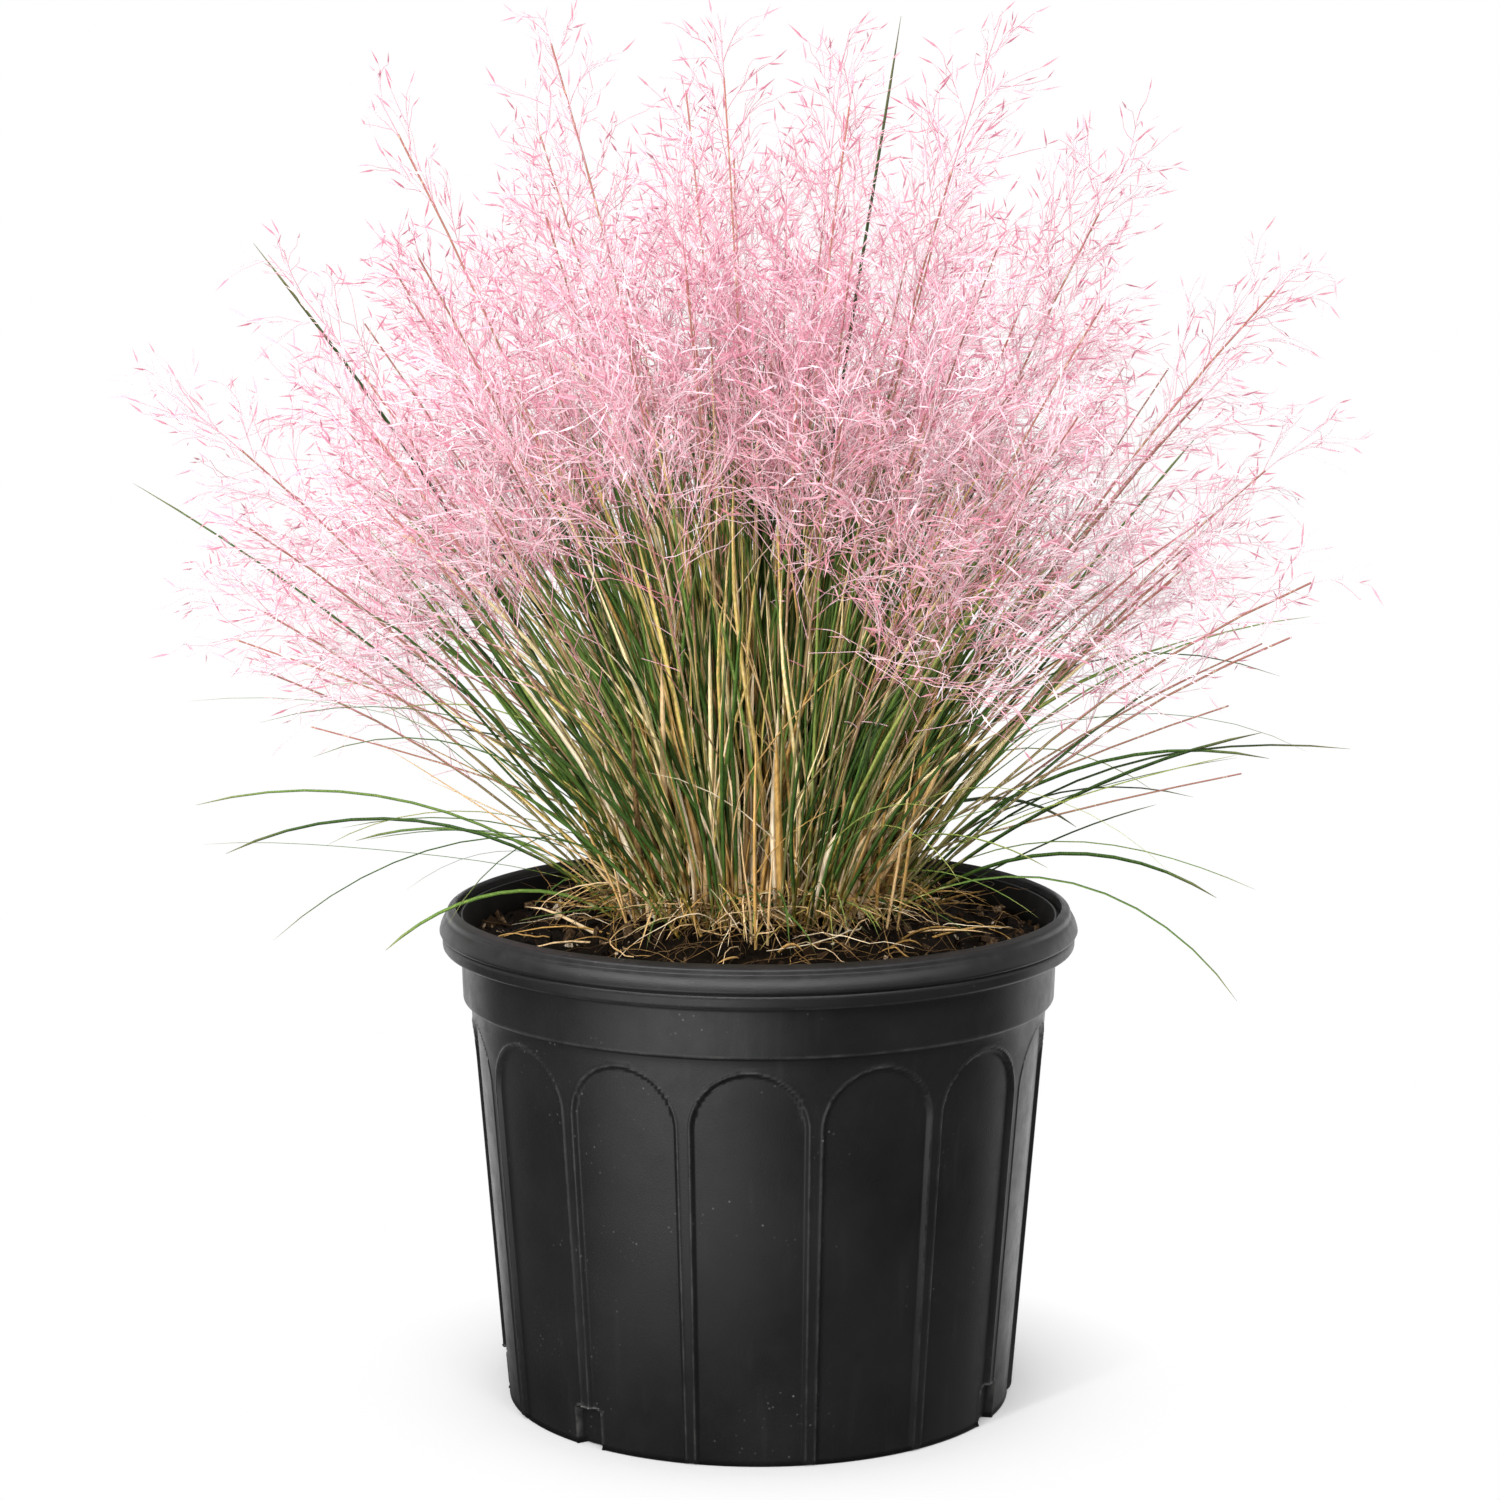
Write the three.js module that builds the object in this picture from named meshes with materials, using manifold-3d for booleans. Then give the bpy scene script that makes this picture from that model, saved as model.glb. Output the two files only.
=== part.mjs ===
// Pink muhly grass in flower, in the black nursery pot it is sold in.
// Millimetres, +Z up. The origin is the middle of the pot's foot, on the ground.
//
// The pot is a thin cup with arched panels. The soil fills it and has plain holes for the tufts.
// Green tufts carry the living blades and the culms. Straw tufts carry last year's dry sheaths.
// Each culm ends in a panicle: a pink axis with whorls of hair-thin forked branches.

import * as THREE from 'three';
import { mergeVertices } from 'three/addons/utils/BufferGeometryUtils.js';
import Module from 'manifold-3d';

const wasm = await Module();
wasm.setup();

// ---------- driving dimensions ----------

const GAP = 0.3;                  // between pieces that touch

const POT_HEIGHT = 240;
const RIM_RADIUS = 152.5;         // outside of the rolled rim
const RIM_INNER_RADIUS = 144;
const GROOVE_RADIUS = 139.5;      // bottom of the groove inside the rim
const BAND_RADIUS = 141.3;        // plain band under the rim
const SHOULDER_RADIUS = 137.3;    // top of the panelled wall
const FOOT_RADIUS = 122.3;
const BAND_BOTTOM = 196;
const SHOULDER_HEIGHT = 189;
const LIP_BOTTOM = 220;           // underside of the rim
const WALL = 3;

const PANELS = 14;
const FACETS = PANELS * 3;        // sides of the round pot
const PANEL_TURN = 11;            // degrees from the front to the first rib
const PANEL_HALF_WIDTH = 26.3;    // where the arch starts
const PANEL_FOOT_HALF_WIDTH = 24.3;
const PANEL_SPRING = 161;         // height where the arch starts
const PANEL_FOOT = 5;
const PANEL_DEPTH = 1.8;
const NOTCH_WIDTH = 15;
const NOTCH_HEIGHT = 27;
const NOTCH_RIBS = [2, 4, 6, 8, 10, 12];   // ribs that end in a drain notch

const SOIL_EDGE = 211;            // height of the soil at the wall
const SOIL_RISE = 4;              // how much higher it is in the middle
const SOIL_RELIEF = 1.6;          // height of its lumps
const SOIL_SIDES = 22;
const SOIL_RADIUS = 136;
const ROOT_DEPTH = 22;            // how deep a tuft's foot stands in the soil

const TUFTS = 6;                  // green tufts round the middle one
const TUFT_RING = 42;
const TUFT_RADIUS = 17;
const STRAW_RING = 66;
const STRAW_RADIUS = 12;
const CROWN_HEIGHT = 6;           // how far a tuft's foot stands out of the soil
const SPROUT = 4;                 // height above the soil where its strands start, inside the foot
const ROOT_SIDES = 8;

const CULMS = 41;
const CULM_REACH = 445;           // crown to tip of an upright culm
const CULM_RADIUS = 0.95;
const PANICLE_START = 0.5;        // share of the culm's length where the panicle starts
const SIDE_LEAN = 61;             // degrees from upright of the outermost culms
const FRONT_LEAN = 36;
const BACK_LEAN = 52;
const TIP_SPACING = 66;
const MOST_DRAWS = 4000;

const WHORLS = [                  // place along the axis, branch length, degrees off the axis
  { place: 0.04, reach: 76, spread: 46, forked: true },
  { place: 0.28, reach: 66, spread: 43, forked: true },
  { place: 0.52, reach: 52, spread: 40, forked: true },
  { place: 0.77, reach: 30, spread: 36, forked: false },
];
const BRANCH_RADIUS = 0.49;
const WHORL_HEIGHT = 1.7;         // height of a branch's root on the axis
const FORK_PLACE = 0.6;           // share of a branch before it forks
const FORK_SPREAD = 27;

const BLADES_A_TUFT = 20;
const BLADE_WIDTH = 3.4;
const BLADE_THICKNESS = 0.9;
const STRAWS_A_TUFT = 8;
const CLEARANCE = 0.45;           // kept between strands of different pieces

const CROWN_CENTRE = SOIL_EDGE + SOIL_RISE;   // where the fan of culms and blades starts

// Panicle tips that stand out of the cloud: x, y, z.
const PEAKS = [
  [-18, -12, 655], [-101, 24, 657], [111, -18, 655], [-178, 12, 621], [178, 26, 598], [40, 40, 640],
  [248, -10, 540], [-283, 6, 487], [266, 12, 466], [-226, -24, 548], [-252, -34, 395],
  [248, -34, 372], [-236, 40, 336], [232, 44, 345],
];

// Long blades that reach out of the clump: tip x, y, z, and the degrees that they bend.
const LONG_BLADES = [
  [-285, -14, 443, 24], [-232, 18, 552, 14], [70, 6, 657, 6], [210, 16, 463, 12], [258, -22, 382, 62],
  [-264, -36, 290, 66], [-253, 20, 262, 80], [-175, -44, 228, 96], [-197, 52, 261, 70],
  [-218, -8, 325, 56], [274, -16, 319, 58], [244, 34, 305, 74], [237, -52, 330, 40],
  [215, 60, 281, 72], [213, -24, 247, 84], [221, -70, 207, 104],
  [120, 205, 290, 76], [-60, 228, 262, 84], [30, 236, 360, 52], [-140, 180, 340, 58],
  [165, 160, 250, 88], [-170, 150, 300, 70], [60, -196, 372, 40], [-110, -178, 352, 46],
];

const COLOURS = { pot: 0x2b2b2b, soil: 0x3a2e22, green: 0x6f7a45, straw: 0xc2a566, pink: 0xe9a9b6 };

// ---------- small helpers ----------

const radians = THREE.MathUtils.degToRad;
const TURN = Math.PI * 2;
const GOLDEN = Math.PI * (3 - Math.sqrt(5));
const UP = new THREE.Vector3(0, 0, 1);

// A number from 0 to 1 that depends only on its two seeds.
function draw(a, b) {
  const value = Math.sin(a * 12.9898 + b * 78.233 + 4.1) * 43758.5453;
  return value - Math.floor(value);
}

const between = (low, high, share) => low + (high - low) * share;

const polar = (radius, angle, z = 0) =>
  new THREE.Vector3(radius * Math.cos(angle), radius * Math.sin(angle), z);

// A closed triangle mesh as a solid that can be joined and cut.
function solid(positions, triangles) {
  const vertProperties = new Float32Array(positions);
  const triVerts = new Uint32Array(triangles);
  return new wasm.Manifold(new wasm.Mesh({ numProp: 3, vertProperties, triVerts }));
}

// A three.js geometry as a solid: shared corners merged, flat triangles dropped, faces outwards.
function solidOf(geometry) {
  geometry.deleteAttribute('normal');
  geometry.deleteAttribute('uv');
  const merged = mergeVertices(geometry, 1e-4);
  const at = merged.attributes.position;
  const index = merged.index.array;
  const corner = i => new THREE.Vector3().fromBufferAttribute(at, i);
  const triangles = [];
  let volume = 0;
  for (let i = 0; i < index.length; i += 3) {
    const [a, b, c] = [index[i], index[i + 1], index[i + 2]];
    if (a === b || b === c || c === a) continue;
    triangles.push([a, b, c]);
    volume += corner(a).dot(corner(b).cross(corner(c)));
  }
  const facing = volume < 0 ? triangles.map(([a, b, c]) => [a, c, b]) : triangles;
  return solid(at.array, facing.flat());
}

function geometryOf(shape) {
  const mesh = shape.getMesh();
  const geometry = new THREE.BufferGeometry();
  geometry.setAttribute('position', new THREE.BufferAttribute(new Float32Array(mesh.vertProperties), 3));
  geometry.setIndex(new THREE.BufferAttribute(new Uint32Array(mesh.triVerts), 1));
  return geometry;
}

// Joins solids two by two, which stays quick when there are many.
function joined(shapes) {
  if (shapes.length === 1) return shapes[0];
  const half = Math.ceil(shapes.length / 2);
  return joined(shapes.slice(0, half)).add(joined(shapes.slice(half)));
}

// A solid of revolution about Z from points [radius, height], from the axis round to the axis.
// Its first corner is at the front, turned by `start`.
function turned(points, sides, start = 0) {
  const profile = points.map(([radius, height]) => new THREE.Vector2(radius, height));
  const geometry = new THREE.LatheGeometry(profile, sides);
  geometry.rotateX(Math.PI / 2);
  geometry.rotateZ(start);
  return geometry;
}

// ---------- pot ----------

const wallRadius = z => between(FOOT_RADIUS, SHOULDER_RADIUS, z / SHOULDER_HEIGHT);
const innerRadius = z => wallRadius(z) - PANEL_DEPTH - WALL;

// An arch with its foot on height 0, its sides up to the spring and a half circle above.
function archShape(footHalfWidth, halfWidth, spring) {
  const shape = new THREE.Shape();
  shape.moveTo(-footHalfWidth, 0);
  shape.lineTo(footHalfWidth, 0);
  shape.lineTo(halfWidth, spring);
  shape.absarc(0, spring, halfWidth, 0, Math.PI, false);
  shape.lineTo(-footHalfWidth, 0);
  return shape;
}

// The arch as a bar that runs outwards along the direction `angle`, with its foot at `foot`.
function archBar(shape, foot, inside, outside, angle) {
  const settings = { depth: outside - inside, bevelEnabled: false, curveSegments: 3 };
  const bar = new THREE.ExtrudeGeometry(shape, settings);
  bar.rotateX(Math.PI / 2);
  bar.rotateZ(Math.PI / 2);
  bar.translate(inside, 0, foot);
  bar.rotateZ(angle);
  return solidOf(bar);
}

function makePot() {
  const start = radians(PANEL_TURN);
  const outside = [
    [0, 0], [FOOT_RADIUS - 3, 0], [FOOT_RADIUS, 3], [SHOULDER_RADIUS, SHOULDER_HEIGHT],
    [BAND_RADIUS, BAND_BOTTOM], [BAND_RADIUS, LIP_BOTTOM - 8], [RIM_RADIUS - 1.5, LIP_BOTTOM],
    [RIM_RADIUS, POT_HEIGHT - 8], [RIM_RADIUS - 3.6, POT_HEIGHT], [RIM_INNER_RADIUS, POT_HEIGHT - 3],
  ];
  const groove = [[GROOVE_RADIUS, POT_HEIGHT - 6], [GROOVE_RADIUS - 1.2, POT_HEIGHT - 4]];
  const inside = [
    [BAND_RADIUS - WALL - 1.3, SOIL_EDGE - 4], [innerRadius(SHOULDER_HEIGHT), SHOULDER_HEIGHT - 3],
    [innerRadius(WALL), WALL], [0, WALL],
  ];
  const body = solidOf(turned([...outside, ...groove, ...inside], FACETS, start));

  const coreTop = SHOULDER_HEIGHT + 6;
  const core = solidOf(turned([
    [0, -1], [wallRadius(-1) - PANEL_DEPTH, -1], [wallRadius(coreTop) - PANEL_DEPTH, coreTop], [0, coreTop],
  ], FACETS, start));
  const ribAngle = k => radians(-90 + PANEL_TURN) + (k * TURN) / PANELS;
  const panelShape = archShape(PANEL_FOOT_HALF_WIDTH, PANEL_HALF_WIDTH, PANEL_SPRING - PANEL_FOOT);
  const arches = [];
  for (let k = 0; k < PANELS; k++) {
    arches.push(archBar(panelShape, PANEL_FOOT, FOOT_RADIUS - 20, RIM_RADIUS + 8, ribAngle(k + 0.5)));
  }
  const half = NOTCH_WIDTH / 2;
  const notchShape = archShape(half, half, NOTCH_HEIGHT - half - PANEL_FOOT);
  const notches = NOTCH_RIBS.map(k =>
    archBar(notchShape, PANEL_FOOT, FOOT_RADIUS - 16, FOOT_RADIUS + 16, ribAngle(k)));
  return body.subtract(joined(arches).subtract(core)).subtract(joined(notches));
}

// ---------- soil ----------

// Height of the soil's surface: a low dome with lumps.
function soilHeight(x, y) {
  const radius = Math.hypot(x, y);
  const dome = SOIL_EDGE + SOIL_RISE * (1 - (radius / SOIL_RADIUS) ** 2);
  return dome + SOIL_RELIEF * Math.sin(x * 0.09 + 1.3) * Math.sin(y * 0.11 + 0.4);
}

const roots = [{ name: 'tuft_centre', x: 0, y: 0, radius: TUFT_RADIUS }];
for (let k = 0; k < TUFTS; k++) {
  const at = polar(TUFT_RING, (k * TURN) / TUFTS);
  roots.push({ name: `tuft_${k + 1}`, x: at.x, y: at.y, radius: TUFT_RADIUS });
}
const strawRoots = [];
for (let k = 0; k < TUFTS; k++) {
  const at = polar(STRAW_RING, ((k + 0.5) * TURN) / TUFTS);
  strawRoots.push({ name: `straw_${k + 1}`, x: at.x, y: at.y, radius: STRAW_RADIUS });
}

// The foot of a tuft, or the hole it stands in when `room` is added all round.
function rootPlug(root, room, top, crown) {
  const bottom = CROWN_CENTRE - ROOT_DEPTH - room;
  const radius = root.radius + room;
  const geometry = turned([[0, bottom], [radius, bottom], [radius, top], [radius * 0.93, top + crown],
    [0, top + crown]], ROOT_SIDES);
  geometry.translate(root.x, root.y, 0);
  return solidOf(geometry);
}

function makeSoil() {
  const room = 0.4 + GAP;           // the pot's flat sides lie 0.4 inside its radius
  const bottom = WALL + GAP;
  const rings = [SOIL_RADIUS, 104, 66, 30];
  const points = [[0, bottom], [innerRadius(bottom) - room, bottom],
    [innerRadius(SHOULDER_HEIGHT - 4) - room, SHOULDER_HEIGHT - 4], [SOIL_RADIUS, SOIL_EDGE - 3],
    ...rings.map(radius => [radius, SOIL_EDGE]), [0, SOIL_EDGE]];
  const geometry = turned(points, SOIL_SIDES);
  const at = geometry.attributes.position;
  for (let i = 0; i < at.count; i++) {
    if (at.getZ(i) > SOIL_EDGE - 1) at.setZ(i, soilHeight(at.getX(i), at.getY(i)));
  }
  const ground = solidOf(geometry);
  const holes = [...roots, ...strawRoots].map(root => rootPlug(root, GAP, POT_HEIGHT, 1));
  return ground.subtract(joined(holes));
}

// ---------- strands ----------

// An arc in an upright plane from base to tip. Its lean from upright grows by `bend` on the way.
class StrandCurve extends THREE.Curve {
  constructor(base, tip, bend) {
    super();
    const across = new THREE.Vector3(tip.x - base.x, tip.y - base.y, 0);
    this.base = base;
    this.chord = base.distanceTo(tip);
    this.half = Math.max(bend / 2, 0.002);
    this.lean = Math.atan2(across.length(), tip.z - base.z);
    this.out = across.length() > 1e-6 ? across.normalize() : new THREE.Vector3(1, 0, 0);
    this.side = new THREE.Vector3().crossVectors(UP, this.out);
  }

  leanAt(t) {
    return this.lean + this.half * (2 * t - 1);
  }

  getPoint(t) {
    const scale = this.chord / (2 * Math.sin(this.half));
    const start = this.lean - this.half;
    const across = scale * (Math.cos(start) - Math.cos(this.leanAt(t)));
    const rise = scale * (Math.sin(this.leanAt(t)) - Math.sin(start));
    return this.base.clone().addScaledVector(this.out, across).addScaledVector(UP, rise);
  }

  getTangent(t) {
    const lean = this.leanAt(t);
    return this.out.clone().multiplyScalar(Math.sin(lean)).addScaledVector(UP, Math.cos(lean));
  }

  arcLength() {
    return (this.chord * this.half) / Math.sin(this.half);
  }
}

// Grows one closed mesh out of three-cornered rings.
class RingMesh {
  constructor() {
    this.positions = [];
    this.triangles = [];
  }

  point(at) {
    this.positions.push(at.x, at.y, at.z);
    return this.positions.length / 3 - 1;
  }

  at(index) {
    return new THREE.Vector3().fromArray(this.positions, index * 3);
  }

  // Three corners round `centre`, square to `along`, the first at `spin` from `side`.
  ring(centre, along, side, radius, spin = 0, flatness = 1) {
    const over = new THREE.Vector3().crossVectors(along, side).normalize();
    const flat = new THREE.Vector3().crossVectors(over, along).normalize();
    return [0, 1, 2].map(k => {
      const angle = spin + (k * TURN) / 3;
      const place = centre.clone().addScaledVector(flat, radius * Math.cos(angle))
        .addScaledVector(over, radius * flatness * Math.sin(angle));
      return this.point(place);
    });
  }

  face(a, b, c) {
    this.triangles.push([a, b, c]);
  }

  band(lower, upper) {
    for (let k = 0; k < 3; k++) {
      const next = (k + 1) % 3;
      this.face(lower[k], lower[next], upper[next]);
      this.face(lower[k], upper[next], upper[k]);
    }
  }

  cone(edge, apex) {
    for (let k = 0; k < edge.length; k++) this.face(edge[k], edge[(k + 1) % edge.length], apex);
  }

  close(ring) {
    this.face(ring[2], ring[1], ring[0]);
  }

  solid() {
    return solid(this.positions, this.triangles.flat());
  }

  geometry() {
    const geometry = new THREE.BufferGeometry();
    geometry.setAttribute('position', new THREE.Float32BufferAttribute(this.positions, 3));
    geometry.setIndex(this.triangles.flat());
    return geometry;
  }
}

// ---------- keeping strands clear of each other ----------

const placed = [];                // every stretch of strand so far, as a thick line

function stretch(from, to, radius, piece) {
  return { from, to, radius, piece };
}

// Shortest distance between two lines from a to b and from c to d.
function lineDistance(a, b, c, d) {
  const u = b.clone().sub(a);
  const v = d.clone().sub(c);
  const w = a.clone().sub(c);
  const [uu, uv, vv, uw, vw] = [u.dot(u), u.dot(v), v.dot(v), u.dot(w), v.dot(w)];
  const clamp = value => Math.min(1, Math.max(0, value));
  const denominator = uu * vv - uv * uv;
  let s = denominator > 1e-9 ? clamp((uv * vw - vv * uw) / denominator) : 0;
  const t = clamp((uv * s + vw) / vv);
  s = clamp((uv * t - uw) / uu);
  return a.clone().addScaledVector(u, s).distanceTo(c.clone().addScaledVector(v, t));
}

function near(p, q, room) {
  return ['x', 'y', 'z'].every(k =>
    Math.min(p.from[k], p.to[k]) - room < Math.max(q.from[k], q.to[k])
    && Math.max(p.from[k], p.to[k]) + room > Math.min(q.from[k], q.to[k]));
}

// Whether new stretches stay clear of the ones placed before, but for the pieces in `except`.
function isClear(stretches, except = []) {
  return stretches.every(p => placed.every(q => {
    if (except.includes(q.piece)) return true;
    const room = p.radius + q.radius + CLEARANCE;
    return !near(p, q, room) || lineDistance(p.from, p.to, q.from, q.to) > room;
  }));
}

// Whether a point of a strand is above the soil and clear of the pot's rim and wall.
function inTheOpen(point, room) {
  const radius = Math.hypot(point.x, point.y);
  if (radius > 132 && radius < RIM_RADIUS + 3 && point.z < POT_HEIGHT + 2 + room) return false;
  if (radius >= RIM_RADIUS + 3) return point.z > LIP_BOTTOM - 30;
  return point.z > soilHeight(point.x, point.y) + 1 + room;
}

// The straight stretches of a strand between its rings at the shares `places` of its curve.
function stretchesAlong(curve, places, radiusAt, piece) {
  return places.slice(1).map((b, k) => {
    const a = places[k];
    return stretch(curve.getPoint(a), curve.getPoint(b), Math.max(radiusAt(a), radiusAt(b)), piece);
  });
}

for (const root of [...roots, ...strawRoots]) {
  const foot = new THREE.Vector3(root.x, root.y, CROWN_CENTRE - ROOT_DEPTH);
  const head = new THREE.Vector3(root.x, root.y, CROWN_CENTRE + CROWN_HEIGHT - root.radius);
  placed.push(stretch(foot, head, root.radius, root.name));
}

// ---------- culms ----------

// The tuft whose foot is nearest to a point, and the point moved well into that foot.
function rootAt(point, choices) {
  const root = choices.reduce((best, one) => {
    const distance = Math.hypot(point.x - one.x, point.y - one.y);
    return distance < best.distance ? { distance, one } : best;
  }, { distance: Infinity }).one;
  const offset = new THREE.Vector3(point.x - root.x, point.y - root.y, 0);
  offset.clampLength(0, root.radius - 4);
  return { root, base: new THREE.Vector3(root.x + offset.x, root.y + offset.y, CROWN_CENTRE + SPROUT) };
}

// How far a culm may lean in the direction `angle`: most to the sides, least to the front.
function leanLimit(angle) {
  const facing = Math.sin(angle);
  const limit = facing < 0 ? FRONT_LEAN : BACK_LEAN;
  return radians(between(SIDE_LEAN, limit, Math.abs(facing) ** 1.3));
}

const culms = [];
const CULM_PLACES = [0, 0.17, 0.34, PANICLE_START];
const AXIS_PLACES = [PANICLE_START, ...WHORLS.map(whorl => between(PANICLE_START, 1, whorl.place)), 1];

// Adds the culm and panicle axis that end at `tip`, if they are clear of the ones before.
function addCulm(tip) {
  const lean = Math.atan2(Math.hypot(tip.x, tip.y), tip.z - CROWN_CENTRE);
  const angle = Math.atan2(tip.y, tip.x);
  const { root, base } = rootAt(polar(6 + 52 * Math.min(1, lean / radians(50)), angle), roots);
  const bend = radians(6) + lean * 0.42;
  const name = `panicle_${String(culms.length + 1).padStart(2, '0')}`;
  const curve = new StrandCurve(base, tip, bend);
  const green = stretchesAlong(curve, CULM_PLACES, () => CULM_RADIUS, root.name);
  const pink = stretchesAlong(curve, AXIS_PLACES, () => CULM_RADIUS, name);
  if (!isClear(green, [root.name]) || !isClear(pink)) return false;
  placed.push(...green, ...pink);
  culms.push({ tip, root, name, curve });
  return true;
}

for (const [x, y, z] of PEAKS) {
  const swing = attempt => radians(1.4) * Math.ceil(attempt / 2) * (attempt % 2 ? 1 : -1);
  let attempt = 0;
  while (!addCulm(new THREE.Vector3(x, y, z).applyAxisAngle(UP, swing(attempt)))) attempt++;
}
// The other tips spread evenly over the dome: a steady walk over turn and lean that never repeats.
for (let i = 1; culms.length < CULMS && i < MOST_DRAWS; i++) {
  const share = Math.sqrt((i * 0.7548777) % 1);
  const angle = ((i * 0.5698403) % 1) * TURN;
  const lean = leanLimit(angle) * share;
  const reach = CULM_REACH * Math.cos(lean * 0.86) * between(0.9, 1, draw(i, 1));
  const across = reach * Math.sin(lean);
  const tip = polar(across + 34 * share, angle, CROWN_CENTRE + reach * Math.cos(lean));
  if (culms.every(culm => culm.tip.distanceTo(tip) > TIP_SPACING)) addCulm(tip);
}

// The green part of a culm: three-sided, rooted in its tuft, its end square to its run.
function culmSolid(culm) {
  const mesh = new RingMesh();
  const { curve } = culm;
  const rootEnd = -0.008;
  const end = PANICLE_START - GAP / curve.arcLength();
  let below = null;
  for (const t of [rootEnd, ...CULM_PLACES.slice(1, -1), end]) {
    const ring = mesh.ring(curve.getPoint(t), curve.getTangent(t), curve.side, CULM_RADIUS);
    if (below) mesh.band(below, ring);
    else mesh.close(ring);
    below = ring;
  }
  mesh.face(...below);
  return mesh.solid();
}

// ---------- panicles ----------

// The lines of one branch: its root on the axis, its fork, and the ends of its three prongs.
function branchLines(culm, whorl, spin, scale) {
  const t = between(PANICLE_START, 1, whorl.place);
  const along = culm.curve.getTangent(t);
  const over = new THREE.Vector3().crossVectors(along, culm.curve.side);
  const outwards = culm.curve.side.clone().multiplyScalar(Math.cos(spin))
    .addScaledVector(over, Math.sin(spin));
  const root = culm.curve.getPoint(t);
  const spread = radians(whorl.spread);
  const lead = along.clone().multiplyScalar(Math.cos(spread)).addScaledVector(outwards, Math.sin(spread));
  const fork = root.clone().addScaledVector(lead, whorl.reach * scale * FORK_PLACE);
  fork.addScaledVector(along, whorl.reach * scale * 0.03);
  const run = fork.clone().sub(root).normalize();
  const side = new THREE.Vector3().crossVectors(run, outwards).normalize();
  const top = new THREE.Vector3().crossVectors(run, side).normalize();
  const fan = radians(FORK_SPREAD);
  const prongs = [0, 1, 2].map(k => {
    const angle = ((k + 0.5) * TURN) / 3;
    const away = side.clone().multiplyScalar(Math.cos(angle)).addScaledVector(top, Math.sin(angle));
    const reach = whorl.reach * scale * (1 - FORK_PLACE) * between(0.8, 1.15, draw(spin * 7, k));
    return fork.clone().addScaledVector(run, reach * Math.cos(fan))
      .addScaledVector(away, reach * Math.sin(fan));
  });
  return { root, fork, run, side, prongs, forked: whorl.forked };
}

function branchStretches(branch, piece) {
  const start = branch.root.clone().addScaledVector(branch.run, 5);
  const list = [stretch(start, branch.fork, BRANCH_RADIUS, piece)];
  for (const end of branch.prongs) list.push(stretch(branch.fork, end, BRANCH_RADIUS, piece));
  return branch.forked ? list : [stretch(start, branch.prongs[0], BRANCH_RADIUS, piece)];
}

// Chooses each whorl's spin, and shortens it if need be, so that its branches meet no other strand.
function settleWhorls(culm, number) {
  culm.whorls = WHORLS.map((whorl, w) => {
    const start = draw(number, w + 14) * TURN;
    let best = null;
    for (let attempt = 0; attempt < 36 && (!best || best.branches.length < 3); attempt++) {
      const spin = start + attempt * 0.61;
      const scale = 0.985 ** attempt * between(0.92, 1.08, draw(number, w + 20));
      const branches = [];
      for (let k = 0; k < 3; k++) {
        const branch = branchLines(culm, whorl, spin + ((k + 0.5) * TURN) / 3, scale);
        if (isClear(branchStretches(branch, culm.name))) branches.push({ k, ...branch });
      }
      if (!best || branches.length > best.branches.length) best = { spin, branches, place: whorl.place };
    }
    for (const branch of best.branches) placed.push(...branchStretches(branch, culm.name));
    return best;
  });
}

// Raises a branch from the four corners of its root on the axis: a stalk that forks in three.
function raiseBranch(mesh, corners, branch) {
  if (!branch.forked) {
    mesh.cone(corners, mesh.point(branch.prongs[0]));
    return;
  }
  const ring = mesh.ring(branch.fork, branch.run, branch.side, BRANCH_RADIUS, 0);
  const [a, b, c, d] = corners;            // lower left, lower right, upper right, upper left
  const far = corner => ring.map(index => mesh.at(index).distanceTo(mesh.at(corner)));
  const first = far(a).indexOf(Math.min(...far(a)));
  const [p, q, r] = [ring[first], ring[(first + 1) % 3], ring[(first + 2) % 3]];
  mesh.face(a, b, q);
  mesh.face(a, q, p);
  mesh.face(b, c, q);
  mesh.face(c, r, q);
  mesh.face(c, d, r);
  mesh.face(d, a, p);
  mesh.face(d, p, r);
  const middle = mesh.point(branch.fork.clone().addScaledVector(branch.run, 1.3));
  for (let k = 0; k < 3; k++) {
    const [from, to] = [ring[k], ring[(k + 1) % 3]];
    mesh.cone([from, to, middle], mesh.point(branch.prongs[k]));
  }
}

function makePanicle(culm) {
  const mesh = new RingMesh();
  const { curve } = culm;
  const ringAt = (t, spin, radius) =>
    mesh.ring(curve.getPoint(t), curve.getTangent(t), curve.side, radius, spin);
  const first = culm.whorls[0];
  let below = ringAt(PANICLE_START, first.spin, CULM_RADIUS);
  let spin = first.spin;
  mesh.close(below);
  for (const whorl of culm.whorls) {
    const t = between(PANICLE_START, 1, whorl.place);
    const radius = between(CULM_RADIUS, 0.5, whorl.place);
    const rise = WHORL_HEIGHT / curve.arcLength();
    const twist = Math.round((whorl.spin - spin) / (TURN / 3));
    const turn = ring => [0, 1, 2].map(k => ring[(((k - twist) % 3) + 3) % 3]);
    const lower = ringAt(t, whorl.spin, radius);
    const upper = ringAt(t + rise, whorl.spin, radius);
    mesh.band(below, turn(lower));
    for (let k = 0; k < 3; k++) {
      const next = (k + 1) % 3;
      const corners = [lower[k], lower[next], upper[next], upper[k]];
      const branch = whorl.branches.find(one => one.k === k);
      if (branch) {
        raiseBranch(mesh, corners, branch);
      } else {
        mesh.face(corners[0], corners[1], corners[2]);
        mesh.face(corners[0], corners[2], corners[3]);
      }
    }
    below = upper;
    spin = whorl.spin;
  }
  mesh.cone(below, mesh.point(curve.getPoint(1)));
  return mesh;
}

culms.forEach((culm, number) => settleWhorls(culm, number));

// ---------- blades ----------

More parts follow.
